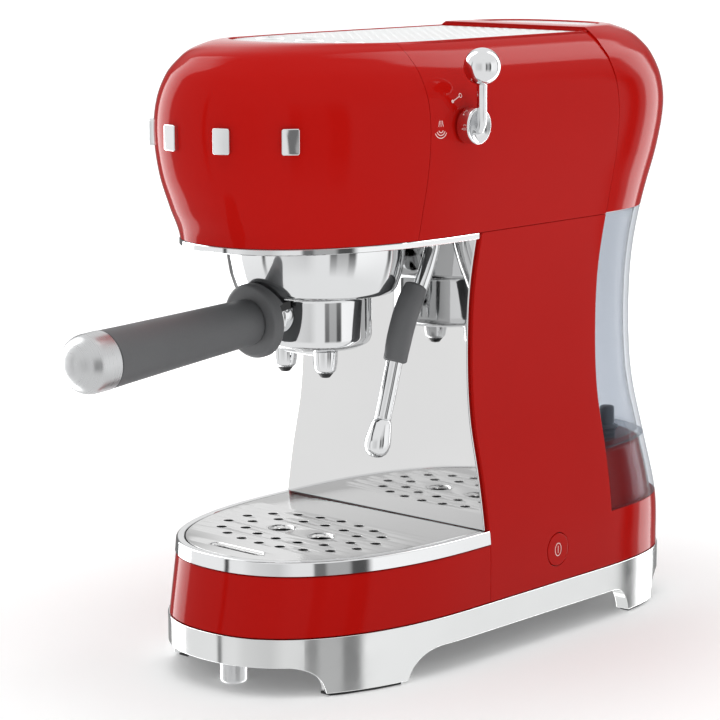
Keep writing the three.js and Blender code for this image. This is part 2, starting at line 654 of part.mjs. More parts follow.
// The hub and its stem are one casting. The stem stands proud of the hub's face.
const STEM = [[82.4, -17.6, 286], [83.3, -18.6, 294], [84.2, -19.8, 301], [84.8, -20.6, 306.6]];
piece('lever_arm', join(
  crossRod(9, LEVER.x + 0.4, 82, LEVER.y, LEVER.z, 24),
  crossRod(4, 56.4, LEVER.x + 1, LEVER.y, LEVER.z, 12),
  swept(STEM, 2.6, 6, 8),
), CHROME);
const ball = new THREE.SphereGeometry(9.5, 16, 10);
piece('lever_ball', ball, CHROME).position.set(85.3, -21, 316.4);
piece('steam_valve', join(
  crossRod(11, 38, 56, LEVER.y, LEVER.z, 20), rod(5, 262, 286, 45, LEVER.y, 12),
), BRASS);

piece('wand_joint', turned([
  [0, 222], [5, 222], [6, 223.4], [6, 228.9], [9.5, 229.8], [9.5, 237], [0, 237],
], WAND.x, WAND.y, 20), CHROME);
const wandPoint = (y, z) => [WAND.x, y, z];
const PIPE = [wandPoint(-12.4, 220.3), wandPoint(-16.3, 209.4), wandPoint(-20.5, 201.5), wandPoint(-26, 191)];
piece('wand_pipe', swept(PIPE, 4.1, 8, 8), CHROME);
piece('wand_grip', cut(
  swept([wandPoint(-25.6, 200), wandPoint(-33.4, 186), wandPoint(-40.8, 164.5)], 6.7, 5, 10),
  swept([...PIPE.slice(0, 3), wandPoint(-26.4, 190)], 4.1 + GAP, 8, 10),
), GREY);
piece('wand_tube', swept([
  wandPoint(-41, 164), wandPoint(-46, 149), wandPoint(-50.6, 134.6),
], 4.4, 3, 8), CHROME);
const nozzle = new THREE.Group();
nozzle.position.set(WAND.x, -50.8, 134.1);
nozzle.rotation.x = THREE.MathUtils.degToRad(180 - 18);
machine.add(nozzle);
const nozzleGeometry = new THREE.LatheGeometry([
  [0, 0], [4.6, 0], [5.4, 2.5], [6.4, 8], [6.8, 12], [6.2, 15.5], [4.4, 18], [2, 19.4], [0, 19.8],
].map(([r, along]) => new THREE.Vector2(r, along)), 20).rotateX(Math.PI / 2);
piece('wand_nozzle', solid(nozzleGeometry), CHROME, nozzle);

// ---------- power button and switch ----------

piece('power_button', join(
  crossRod(9, 69.8, POWER.x + 0.6, POWER.y, POWER.z),
  crossRod(4, 63, 70, POWER.y, POWER.z, 12),
), CHROME);
piece('power_switch', block(46, 59.5, POWER.y - 9, POWER.y + 9, POWER.z - 8, POWER.z + 8), BLACK);

// ---------- inside the casing ----------

piece('boiler', turned([
  [0, 233.5], [30, 233.5], [33, 237], [33, 278], [28, 284], [0, 284],
], GROUP.x, GROUP.y), ALUMINIUM);
piece('pump', join(
  block(-24, 24, 40, 84, 96, 132), rod(14, 131, 168, 0, 62, 20), rod(5, 167, 180, 0, 62, 12),
), BLACK);
piece('control_board', block(-46, 46, 9, 11, 112, 205), GREEN);
piece('supply_hose', swept([
  [VALVE.x, VALVE.y, 84], [VALVE.x, VALVE.y - 8, 66], [20, 110, 58], [0, 75, 70], [0, 62, 94],
], 4, 18, 6), WHITE);
piece('pressure_hose', swept([
  [0, 62, 181], [0, 56, 215], [4, 20, 250], [4, -12, 262], [4, -18.6, 264],
], 2.6, 18, 6), WHITE);
piece('cable_gland', turned([
  [0, -9], [8.5, -9], [8.5, -6], [5.9, -6], [5.9, 5], [0, 5],
], 0, 0, 16).transform(new THREE.Matrix4().makeRotationX(Math.PI / 2)
  .setPosition(-35, 186, 45).toArray()), BLACK);

// ---------- stand the machine over its own footprint's centre ----------

const box = new THREE.Box3().setFromObject(machine, true);
const centre = box.getCenter(new THREE.Vector3());
machine.position.set(-centre.x, -centre.y, -box.min.z);

export default machine;
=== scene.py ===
# Looks of a pump espresso machine: red casing, chrome group and base, smoked rear tank.

import math

import bmesh
import bpy
from mathutils import Matrix, Vector


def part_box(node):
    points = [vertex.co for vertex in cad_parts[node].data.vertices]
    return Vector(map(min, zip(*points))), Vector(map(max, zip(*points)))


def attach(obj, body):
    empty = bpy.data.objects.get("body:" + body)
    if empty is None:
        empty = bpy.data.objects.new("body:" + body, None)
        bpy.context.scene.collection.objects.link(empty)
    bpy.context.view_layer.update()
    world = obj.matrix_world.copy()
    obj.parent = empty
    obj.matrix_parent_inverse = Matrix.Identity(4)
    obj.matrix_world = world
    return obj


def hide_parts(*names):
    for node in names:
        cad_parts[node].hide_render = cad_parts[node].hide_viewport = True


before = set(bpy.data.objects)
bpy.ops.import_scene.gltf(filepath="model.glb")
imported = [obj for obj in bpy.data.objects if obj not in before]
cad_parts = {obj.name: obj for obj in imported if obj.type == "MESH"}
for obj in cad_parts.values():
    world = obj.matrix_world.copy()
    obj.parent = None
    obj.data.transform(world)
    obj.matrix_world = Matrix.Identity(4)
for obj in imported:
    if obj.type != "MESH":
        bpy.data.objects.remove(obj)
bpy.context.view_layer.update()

# ---------- machine frame: millimetres, y = 0 on the front of the splash plate ----------

MM = 0.001
splash_low, splash_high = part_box("backsplash")
ORIGIN = Vector(((splash_low.x + splash_high.x) / 2, splash_low.y, 0))


def place(point):
    return ORIGIN + Vector(point) * MM


GAP = 0.3
WALL = 2.6

# Heights above the worktop.
PAD_TOP = 1.3
BAND_LOW = 16
SKIRT_TOP = 31
RIM_LOW = 62.5
TRAY_TOP = 70
TANK_FLOOR = 97
TRIM_LOW = 225.4
HEAD_LOW = 228.7
PLATE_TOP = 327.6
HEAD_TOP = 329
LID_RISE = 1.4

# Depths of the seams.
COLUMN_FRONT = 2.8
TRAY_REAR = COLUMN_FRONT - GAP
COVER_SEAM = -46
TANK_SEAM = 110

# The rounded ends of every plan section are superellipses about these centres.
FRONT_CENTRE, FRONT_POWER = -10, 2.3
REAR_CENTRE, REAR_POWER = 90, 3.1

# Body section: (height, reach) for the half width, the front tip and the rear tip.
SIDE_LINE = [(30, 74.6), (62, 74.2), (96, 69.4), (130, 62.8), (165, 60.8), (200, 62.2), (240, 69),
             (262, 73), (283, 74.6), (300, 72.8), (313, 67), (320, 61), (325, 55.5),
             (329, 49.5)]
FRONT_LINE = [(30, -137.4), (70, -131), (228, -129.5), (245, -136), (262, -142), (283, -145),
              (300, -143.5), (313, -138.8), (320, -133), (325, -126), (329, -112)]
REAR_LINE = [(30, 193.6), (60, 192), (100, 182), (140, 175.2), (190, 173.8), (228, 177), (262, 187),
             (285, 192), (300, 190.6), (313, 186), (320, 181), (325, 174), (329, 160)]

GROUP = (0, -52.5)
HANDLE_START = (0, -102, 187)
HANDLE_DROOP = 3.7
LEVER = (74.9, -20, 286.2)
WAND_X = 45
VALVE = (42, 147)
POWER = (74, 60.4, 49.4)  # x, y and z
POWER_HOLE = 9.4  # radius
BUTTONS = {"one_cup_button": -28, "two_cup_button": 0, "steam_button": 28}
BUTTON_Y = -57
BUTTON_RADIUS = 7.5
LAMP = (0, -84, 2.4)  # x, y and radius
PANEL_REAR = -36


def curve_through(points):
    """Smooth curve through (height, value) pairs, with slopes taken from the neighbours."""
    last = len(points) - 1

    def slope(i):
        before, after = points[max(i - 1, 0)], points[min(i + 1, last)]
        return (after[1] - before[1]) / (after[0] - before[0])

    def at(z):
        i = next((k for k, (height, _) in enumerate(points) if height >= z), last)
        i = max(i, 1)
        (z0, v0), (z1, v1) = points[i - 1], points[i]
        span = z1 - z0
        t = min(max((z - z0) / span, 0), 1)
        near = (2 * t**3 - 3 * t**2 + 1) * v0 + (t**3 - 2 * t**2 + t) * span * slope(i - 1)
        return near + (3 * t**2 - 2 * t**3) * v1 + (t**3 - t**2) * span * slope(i)

    return at


side_at = curve_through(SIDE_LINE)
front_at = curve_through(FRONT_LINE)
rear_at = curve_through(REAR_LINE)


# ---------- plan lines of the body ----------


def spread(points, count):
    """The same line with count points at even steps along it."""
    lengths = [0.0]
    for a, b in zip(points, points[1:]):
        lengths.append(lengths[-1] + math.dist(a, b))
    made, k = [], 0
    for i in range(count):
        target = lengths[-1] * i / (count - 1)
        while k < len(points) - 2 and lengths[k + 1] < target:
            k += 1
        t = (target - lengths[k]) / max(lengths[k + 1] - lengths[k], 1e-9)
        made.append(tuple(a + (b - a) * t for a, b in zip(points[k], points[k + 1])))
    return made


def round_end(half, centre, tip, power, cut, count):
    """Plan line from (right, y = cut) round a superellipse tip to (left, y = cut)."""
    share = max(0.0, (cut - centre) / (tip - centre))
    start = math.asin(min(share ** (power / 2), 1))
    right = [] if share > 0 else [(half, cut)]
    steps = 240
    for i in range(steps + 1):
        angle = start + (math.pi / 2 - start) * i / steps
        x = half * math.cos(angle) ** (2 / power) if i < steps else 0.0
        right.append((x, centre + (tip - centre) * math.sin(angle) ** (2 / power)))
    left = [(-x, y) for x, y in right[-2::-1]]
    return spread(right + left, count)


def wrap_front(z, cut, count, inset=0.0):
    return round_end(side_at(z) - inset, FRONT_CENTRE, front_at(z) + inset, FRONT_POWER, cut, count)


def wrap_rear(z, cut, count, inset=0.0):
    return round_end(side_at(z) - inset, REAR_CENTRE, rear_at(z) - inset, REAR_POWER, cut, count)


def reach(z, y, inset=0.0):
    """Half width of the body at a height and a depth."""
    half = side_at(z) - inset
    if FRONT_CENTRE <= y <= REAR_CENTRE:
        return half
    centre, power, tip = (REAR_CENTRE, REAR_POWER, rear_at(z) - inset) if y > REAR_CENTRE else (
        FRONT_CENTRE, FRONT_POWER, front_at(z) + inset)
    return half * max(0.0, 1 - ((y - centre) / (tip - centre)) ** power) ** (1 / power)


def steps_between(low, high, step):
    count = max(1, round((high - low) / step))
    return [low + (high - low) * i / count for i in range(count + 1)]


def straight(x0, x1, y, count):
    """Points between two ends of a line along X, without the ends."""
    return [(x0 + (x1 - x0) * (i + 1) / (count + 1), y) for i in range(count)]


def closed_line(line, count=24):
    """A plan line that starts on the right and ends on the left, closed by a straight side."""
    return line + straight(line[-1][0], line[0][0], line[0][1], count)


def at_height(line, z):
    return [(x, y, z) for x, y in line]


# ---------- mesh tools: an island is (points in millimetres, faces) ----------


def grid(rows, loop_rows=False, loop_columns=False, cap_first=False, cap_last=False):
    count = len(rows[0])
    faces = []
    for i in range(len(rows) if loop_rows else len(rows) - 1):
        a, b = i * count, (i + 1) % len(rows) * count
        for j in range(count if loop_columns else count - 1):
            k = (j + 1) % count
            faces.append((a + j, a + k, b + k, b + j))
    end = len(rows) * count
    if cap_first:
        faces.append(tuple(range(count))[::-1])
    if cap_last:
        faces.append(tuple(range(end - count, end)))
    return [p for row in rows for p in row], faces


def soft(profile, radius):
    """The profile with each sharp corner rounded over up to this many millimetres."""
    steps, sharpest = 4, math.radians(14)
    made = [profile[0]]
    for before, corner, after in zip(profile, profile[1:], profile[2:]):
        into, out = Vector(before) - Vector(corner), Vector(after) - Vector(corner)
        if math.pi - into.angle(out, 0) < sharpest:
            made.append(corner)
            continue
        start = Vector(corner) + into.normalized() * min(radius, 0.45 * into.length)
        end = Vector(corner) + out.normalized() * min(radius, 0.45 * out.length)
        for i in range(steps + 1):
            t = i / steps
            made.append(tuple(start * (1 - t) ** 2 + Vector(corner) * 2 * t * (1 - t) + end * t * t))
    made.append(profile[-1])
    return made


def turned(profile, x=0.0, y=0.0, ring=False, steps=96):
    """Turned about Z from (radius, height) pairs. A ring's profile closes on itself."""
    rows = [[(x + r * math.cos(a), y + r * math.sin(a), z)
             for a in (2 * math.pi * i / steps for i in range(steps))] for r, z in profile]
    return grid(rows, loop_rows=ring, loop_columns=True)


def ring_profile(profile, radius):
    """A closed profile with every corner softened."""
    start = tuple((a + b) / 2 for a, b in zip(profile[0], profile[-1]))
    return soft([start, *profile, start], radius)[:-1]


def moved(island, matrix):
    points, faces = island
    return [tuple(matrix @ Vector(p)) for p in points], faces


def swept(line, radii):
    """Round bar with domed ends along a smooth curve through points, a radius at each."""
    sides, fine, sizes = 32, [], []
    knots = [Vector(p) for p in line]
    knots = [2 * knots[0] - knots[1], *knots, 2 * knots[-1] - knots[-2]]
    for i in range(len(line) - 1):
        a, b, c, d = knots[i:i + 4]
        for k in range(12):
            t = k / 12
            curve = 2 * b + (c - a) * t + (2 * a - 5 * b + 4 * c - d) * t**2
            fine.append((curve + (3 * b - a - 3 * c + d) * t**3) / 2)
            ease = t * t * (3 - 2 * t)
            sizes.append(radii[i] * (1 - ease) + radii[i + 1] * ease)
    fine.append(Vector(line[-1]))
    sizes.append(radii[-1])
    last = len(fine) - 1
    dome = [(math.sin(a), math.cos(a)) for a in (0, 0.35, 0.7, 1.05, 1.4, math.pi / 2)]
    across = (fine[1] - fine[0]).normalized().orthogonal()
    rows = []
    for i, centre in enumerate(fine):
        along = (fine[min(i + 1, last)] - fine[max(i - 1, 0)]).normalized()
        across = (across - along * across.dot(along)).normalized()
        side = along.cross(across)
        caps = {0: dome[::-1], last: dome}.get(i, [(0.0, 1.0)])
        for push, shrink in caps:
            middle = centre + along * (push * 0.3 * sizes[i] * (1 if i else -1))
            size = sizes[i] * max(shrink, 1e-4)
            rows.append([tuple(middle + (across * math.cos(q) + side * math.sin(q)) * size)
                         for q in (2 * math.pi * s / sides for s in range(sides))])
    return grid(rows, loop_columns=True)


def block(x0, x1, y0, y1, z0, z1):
    rows = [[(x, y, z) for x, y in ((x0, y0), (x1, y0), (x1, y1), (x0, y1))] for z in (z0, z1)]
    return grid(rows, loop_columns=True, cap_first=True, cap_last=True)


def prism(line_at, levels):
    """Closed solid from plan lines: line_at(inset) at each (height, inset) level."""
    rows = [at_height(line_at(inset), z) for z, inset in levels]
    return grid(rows, loop_columns=True, cap_first=True, cap_last=True)


def edge_levels(z0, z1, radius):
    """Levels of a prism whose lower and upper edges are rounded."""
    turn = [math.pi / 2 * i / 4 for i in range(5)]
    low = [(z0 + radius * (1 - math.sin(a)), radius * (1 - math.cos(a))) for a in turn[::-1]]
    high = [(z1 - radius * (1 - math.sin(a)), radius * (1 - math.cos(a))) for a in turn]
    return low + high


def crease(mesh, degrees):
    """Shades a mesh smooth, and sharp across edges that turn by more than this."""
    bm = bmesh.new()
    bm.from_mesh(mesh)
    for face in bm.faces:
        face.smooth = True
    for edge in bm.edges:
        edge.smooth = len(edge.link_faces) != 2 or edge.calc_face_angle(0) < math.radians(degrees)
    bm.to_mesh(mesh)
    bm.free()


def mesh_of(name, islands, sharp=38):
    bm = bmesh.new()
    for points, faces in islands:
        verts = [bm.verts.new(place(p)) for p in points]
        for face in faces:
            bm.faces.new([verts[i] for i in face])
    bmesh.ops.remove_doubles(bm, verts=bm.verts, dist=0.004 * MM)
    bmesh.ops.recalc_face_normals(bm, faces=bm.faces)
    mesh = bpy.data.meshes.new(name)
    bm.to_mesh(mesh)
    bm.free()
    crease(mesh, sharp)
    return mesh


def piece(name, islands, finish, body, stands_for=(), sharp=38):
    """A finished piece that rides on a body and stands for CAD nodes."""
    mesh = islands if isinstance(islands, bpy.types.Mesh) else mesh_of(name, islands, sharp)
    obj = bpy.data.objects.new(name, mesh)
    bpy.context.scene.collection.objects.link(obj)
    mesh.materials.clear()
    mesh.materials.append(finish)
    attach(obj, body)
    if stands_for:
        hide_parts(*stands_for)
    return obj


def face_outwards(mesh, inside):
    """Turns each shell of a mesh so that it faces away from a point inside the machine."""
    bm = bmesh.new()
    bm.from_mesh(mesh)
    centre = place(inside)
    left = set(bm.faces)
    while left:
        shell, queue = [], [left.pop()]
        while queue:
            face = queue.pop()
            shell.append(face)
            near = {other for edge in face.edges for other in edge.link_faces} & left
            left -= near
            queue += near
        flux = sum((f.calc_center_median() - centre).dot(f.normal) * f.calc_area() for f in shell)
        if flux < 0:
            bmesh.ops.reverse_faces(bm, faces=shell)
    bm.to_mesh(mesh)
    bm.free()


def thicken(obj, inside, thickness=2.0, edge=0.35):
    """Gives an outer skin its wall, on the side of the inside point, and breaks its edges."""
    face_outwards(obj.data, inside)
    wall = obj.modifiers.new("wall", "SOLIDIFY")
    wall.thickness = thickness * MM
    wall.offset = -1
    wall.use_even_offset = False
    broken = obj.modifiers.new("broken_edges", "BEVEL")
    broken.width = edge * MM
    broken.segments = 2
    broken.angle_limit = math.radians(50)
    broken.harden_normals = True


def carve(islands, *tools):
    """A mesh of the islands with the tools' solids cut out."""
    scene = bpy.context.scene
    made = [bpy.data.objects.new("blank", mesh_of("blank", islands))]
    made += [bpy.data.objects.new("cutter", mesh_of("cutter", [tool])) for tool in tools]
    for obj in made:
        scene.collection.objects.link(obj)
    for cutter in made[1:]:
        cut = made[0].modifiers.new("cut", "BOOLEAN")
        cut.object = cutter
        cut.solver = "EXACT"
    graph = bpy.context.evaluated_depsgraph_get()
    mesh = bpy.data.meshes.new_from_object(made[0].evaluated_get(graph))
    for obj in made:
        bpy.data.objects.remove(obj)
    crease(mesh, 32)
    return mesh


def stamped(name, outlines, z0, z1, edge=0.25):
    """Flat plate from closed plan lines, the first its outline and the others its holes."""
    data = bpy.data.curves.new(name, "CURVE")
    data.dimensions = "2D"
    data.fill_mode = "BOTH"
    data.extrude = ((z1 - z0) / 2 - edge) * MM
    data.bevel_depth = edge * MM
    data.bevel_resolution = 1
    data.offset = -edge * MM
    for line in outlines:
        spline = data.splines.new("POLY")
        spline.points.add(len(line) - 1)
        spline.use_cyclic_u = True
        for point, p in zip(spline.points, line):
            point.co = (*(Vector((*p, 0)) * MM), 1)
    made = bpy.data.objects.new(name, data)
    bpy.context.scene.collection.objects.link(made)
    graph = bpy.context.evaluated_depsgraph_get()
    mesh = bpy.data.meshes.new_from_object(made.evaluated_get(graph))
    bpy.data.objects.remove(made)
    points = [tuple(v.co / MM + Vector((0, 0, (z0 + z1) / 2))) for v in mesh.vertices]
    return points, [tuple(p.vertices) for p in mesh.polygons]


def circle(x, y, radius, steps=48):
    turn = [2 * math.pi * i / steps for i in range(steps)]
    return [(x + radius * math.cos(a), y + radius * math.sin(a)) for a in turn]


def stadium(half, y, radius):
    right = [(half + radius * math.sin(a), y - radius * math.cos(a))
             for a in (math.pi * i / 20 for i in range(21))]
    return right + [(-x, 2 * y - v) for x, v in right]


# ---------- materials ----------


def rgb(text):
    """An sRGB hex colour as linear RGBA."""
    channels = [int(text[i:i + 2], 16) / 255 for i in (1, 3, 5)]
    return [*(c / 12.92 if c <= 0.04045 else ((c + 0.055) / 1.055) ** 2.4 for c in channels), 1]


def add(tree, kind, inputs=None, **settings):
    """Adds a node with its settings, its values and its links."""
    node = tree.nodes.new(kind)
    for key, value in settings.items():
        setattr(node, key, value)
    for key, value in (inputs or {}).items():
        if isinstance(value, bpy.types.NodeSocket):
            tree.links.new(value, node.inputs[key])
        else:
            node.inputs[key].default_value = value
    return node


def begin(name, colour, metallic, roughness, sockets=None):
    material = bpy.data.materials.new(name)
    material.use_nodes = True
    shader = material.node_tree.nodes["Principled BSDF"]
    first = {"Base Color": rgb(colour), "Metallic": metallic, "Roughness": roughness}
    for key, value in {**first, **(sockets or {})}.items():
        shader.inputs[key].default_value = value
    return material, material.node_tree, shader


def mottle(tree, size, stretch=(1, 1, 1), detail=3.0):
    """Noise with features of this many millimetres, drawn out along an axis by stretch."""
    where = add(tree, "ShaderNodeTexCoord").outputs["Object"]
    factors = [1 / (MM * size * k) for k in stretch]
    scaled = add(tree, "ShaderNodeVectorMath", {0: where, 1: factors}, operation="MULTIPLY")
    noise = {"Vector": scaled.outputs[0], "Scale": 1.0, "Detail": detail}
    return add(tree, "ShaderNodeTexNoise", noise).outputs[0]


def vary(tree, shader, pattern, colours=None, roughness=None, depth=None):
    """Lets a pattern move a finish's colour, its roughness and its height in millimetres."""
    if colours:
        dark, light = map(rgb, colours)
        mixed = add(tree, "ShaderNodeMix", {0: pattern, 6: dark, 7: light}, data_type="RGBA")
        tree.links.new(mixed.outputs[2], shader.inputs["Base Color"])
    if roughness:
        low, high = roughness
        polish = add(tree, "ShaderNodeMapRange", {
            "Value": pattern, "From Min": 0.3, "From Max": 0.7, "To Min": low, "To Max": high})
        tree.links.new(polish.outputs[0], shader.inputs["Roughness"])
    if depth:
        raised = add(tree, "ShaderNodeBump", {"Height": pattern, "Distance": depth * MM})
        tree.links.new(raised.outputs["Normal"], shader.inputs["Normal"])


def red_lacquer():
    # Sprayed gloss lacquer on moulded ABS: deep even red under a clear coat, faint orange peel.
    material, tree, shader = begin("red_gloss_lacquer_on_abs", "#B4130E", 0, 0.06, {
        "IOR": 1.5, "Specular IOR Level": 0.06})
    vary(tree, shader, mottle(tree, 60), colours=("#B2120D", "#B7140F"))
    vary(tree, shader, mottle(tree, 25), roughness=(0.04, 0.08))
    vary(tree, shader, mottle(tree, 2.4, detail=1), depth=0.002)
    return material


def polished_chrome():
    # Mirror-polished chrome plate: cool white metal, only faint wiping marks in its gloss.
    material, tree, shader = begin("polished_chrome_plate", "#DCDDDE", 1, 0.06)
    vary(tree, shader, mottle(tree, 40), colours=("#D8D9DA", "#E2E3E4"))
    vary(tree, shader, mottle(tree, 9, (1, 1, 2.5)), roughness=(0.035, 0.09))
    return material


def base_chrome():
    # Chrome plate on die-cast zinc: a little softer than the turned parts, from the casting.
    material, tree, shader = begin("chrome_plate_on_die_cast_zinc", "#D6D7D7", 1, 0.12)
    vary(tree, shader, mottle(tree, 70), colours=("#D2D3D3", "#DADBDB"))
    vary(tree, shader, mottle(tree, 14), roughness=(0.08, 0.16))
    vary(tree, shader, mottle(tree, 6, detail=1), depth=0.006)
    return material


def mirror_steel():
    # Stainless sheet with a mirror finish: it shows the tray and the group almost undimmed.
    material, tree, shader = begin("mirror_finished_stainless_sheet", "#D4D4D4", 1, 0.03)
    vary(tree, shader, mottle(tree, 80), colours=("#D0D0D0", "#D8D8D8"))
    vary(tree, shader, mottle(tree, 12), roughness=(0.015, 0.045))
    return material


def brushed_steel():
    # Pressed stainless, brushed across: fine lines along X that draw highlights out.
    material, tree, shader = begin("brushed_pressed_stainless", "#DEDEDE", 1, 0.14)
    # Real brush lines are about 0.05 mm apart; drawn at 0.3 mm so that they show.
    lines = mottle(tree, 0.3, (40, 1, 1), 2)
    vary(tree, shader, lines, colours=("#DADADA", "#E2E2E2"), roughness=(0.12, 0.16),
         depth=0.00006)
    return material


def bead_blasted_steel():
    # Light bead-blasted stainless of the top: pale, even and softly shining.
    material, tree, shader = begin("bead_blasted_stainless", "#F0F1F1", 1, 0.34)
    # The blasting grit is about 0.1 mm; drawn at 0.4 mm so that it shows.
    grit = mottle(tree, 0.4, detail=2)
    vary(tree, shader, grit, colours=("#ECEDED", "#F4F5F5"), roughness=(0.3, 0.4), depth=0.002)
    return material


def satin_chrome():
    # Satin chrome on the handle's cap: soft highlight, very fine turned lines round it.
    material, tree, shader = begin("satin_chrome_plate", "#C4C5C6", 1, 0.3)
    lines = mottle(tree, 0.5, (20, 1, 20), 2)
    vary(tree, shader, lines, colours=("#BDBEBF", "#CBCCCD"), roughness=(0.26, 0.35), depth=0.003)
    return material


def grey_soft_touch():
    # Soft-touch coating on moulded nylon: matt mid grey with a very fine grain.
    material, tree, shader = begin("grey_soft_touch_coating", "#5C5D5F", 0, 0.55, {"IOR": 1.46})
    grain = mottle(tree, 0.5, detail=2)
    vary(tree, shader, grain, colours=("#575859", "#626365"), depth=0.012)
    vary(tree, shader, mottle(tree, 18), roughness=(0.48, 0.62))
    return material


def black_moulding():
    # Spark-eroded black nylon moulding: matt, with a fine even texture.
    material, tree, shader = begin("black_textured_nylon", "#18181A", 0, 0.5, {"IOR": 1.53})
    grain = mottle(tree, 0.6, detail=2)
    vary(tree, shader, grain, colours=("#141416", "#1E1E20"), roughness=(0.42, 0.58), depth=0.015)
    return material


def tub_moulding():
    # Grey polypropylene of the drip tub, waxy and slightly uneven; its colour is painted darker than
    # the moulding as painted shade under the grid.
    material, tree, shader = begin("grey_polypropylene_painted_shade", "#3A3B3D", 0, 0.45, {"IOR": 1.49})
    vary(tree, shader, mottle(tree, 12), colours=("#353638", "#404143"))
    vary(tree, shader, mottle(tree, 0.8), depth=0.01)
    return material


def rubber():
    # Black nitrile rubber of pads and seals: dull, with a dusty bloom.
    material, tree, shader = begin("black_nitrile_rubber", "#1D1D1E", 0, 0.8, {"IOR": 1.52})
    vary(tree, shader, mottle(tree, 5), colours=("#19191A", "#262627"))
    vary(tree, shader, mottle(tree, 0.7), depth=0.02)
    return material


def smoked_tank():
    # Injection-moulded clear SAN with a smoky tint: thin walls that dim what is behind them a
    # little at each face, and mirror the light towards their edges.
    material, tree, shader = begin("smoky_clear_san", "#6E747A", 0, 0.03, {"IOR": 1.57})
    vary(tree, shader, mottle(tree, 20), roughness=(0.015, 0.05))
    clear = add(tree, "ShaderNodeBsdfTransparent", {"Color": rgb("#E8EAED")})
    facing = add(tree, "ShaderNodeLayerWeight", {"Blend": 0.5}).outputs["Facing"]
    steep = add(tree, "ShaderNodeMath", {0: facing, 1: 5.0}, operation="POWER")
    gleam = add(tree, "ShaderNodeMapRange", {"Value": steep.outputs[0], "To Min": 0.03,
                                             "To Max": 0.6})
    mixed = add(tree, "ShaderNodeMixShader", {0: gleam.outputs[0], 1: clear.outputs[0],
                                              2: shader.outputs[0]})
    output = tree.nodes["Material Output"]
    tree.links.new(mixed.outputs[0], output.inputs["Surface"])
    return material


def frosted_valve():
    # Translucent grey polypropylene of the tank's valve dome.
    material, tree, shader = begin("translucent_grey_polypropylene", "#7B838B", 0, 0.35, {
        "IOR": 1.49, "Transmission Weight": 0.35})
    vary(tree, shader, mottle(tree, 6), colours=("#747C84", "#838B93"))
    return material


def brass():
    # Machined brass of the group and the steam valve: warm, with fine tool marks.
    material, tree, shader = begin("machined_brass", "#B5914E", 1, 0.3)
    marks = mottle(tree, 0.6, (8, 8, 1), 2)
    vary(tree, shader, marks, colours=("#A88545", "#C09C5A"), roughness=(0.24, 0.38), depth=0.006)
    return material


def cast_aluminium():
    # Sand-textured cast aluminium of the boiler and the bayonet ring.
    material, tree, shader = begin("cast_aluminium", "#A6A8AA", 1, 0.45)
    skin = mottle(tree, 1.2)
    vary(tree, shader, skin, colours=("#9A9C9E", "#B0B2B4"), roughness=(0.38, 0.55), depth=0.03)
    return material


def white_tube():
    # Milky white PTFE of the hoses and the lamp's lens.
    material, tree, shader = begin("milky_white_ptfe", "#E4E4DF", 0, 0.35, {
        "IOR": 1.38, "Subsurface Weight": 0.2})
    vary(tree, shader, mottle(tree, 8), colours=("#DFDFD9", "#E9E9E5"))
    return material


def circuit_board():
    # Green solder mask over glass-epoxy board: satin, with a faint copper pattern below.
    material, tree, shader = begin("green_solder_mask_board", "#1C5E3C", 0, 0.35, {"IOR": 1.55})
    tracks = mottle(tree, 1.5, (6, 1, 1), 1)
    vary(tree, shader, tracks, colours=("#174F33", "#247048"), depth=0.02)
    return material


def printed_ink(name, dark, light):
    # Pad-printed ink: thin, even and matt, a little mottled from the pad.
    material, tree, shader = begin(name, light, 0, 0.5, {"IOR": 1.5})
    vary(tree, shader, mottle(tree, 0.8), colours=(dark, light))
    return material


RED = red_lacquer()
CHROME = polished_chrome()
BASE = base_chrome()
MIRROR = mirror_steel()
BRUSHED = brushed_steel()
PALE_STEEL = bead_blasted_steel()
SATIN = satin_chrome()
GREY = grey_soft_touch()
BLACK = black_moulding()
TUB = tub_moulding()
RUBBER = rubber()
TANK = smoked_tank()
VALVE_PLASTIC = frosted_valve()
BRASS = brass()
ALUMINIUM = cast_aluminium()
WHITE = white_tube()
BOARD = circuit_board()
PALE_INK = printed_ink("pale_printed_ink", "#E9C9C6", "#F3DAD7")
BLACK_INK = printed_ink("black_printed_ink", "#151515", "#222222")

# ---------- base ----------


def bend(start, control, end):
    """Points of a quadratic bend in (depth, height)."""
    return [tuple(a * (1 - t) ** 2 + c * 2 * t * (1 - t) + b * t * t
                  for a, c, b in zip(start, control, end)) for t in (i / 9 for i in range(10))]


def skirt_lower_edge():
    """The skirt's lower edge as (depth, height): two feet a side, with soft roots."""
    low = PAD_TOP + GAP
    return [(-150, BAND_LOW), *bend((-120, BAND_LOW), (-107, BAND_LOW - 2), (-105, low)),
            *bend((-60, low), (-55, BAND_LOW - 1), (-37, BAND_LOW)),
            *bend((113, BAND_LOW), (124, BAND_LOW - 1), (127, low)),
            *bend((155, low), (158, BAND_LOW - 1), (168, BAND_LOW)), (220, BAND_LOW)]


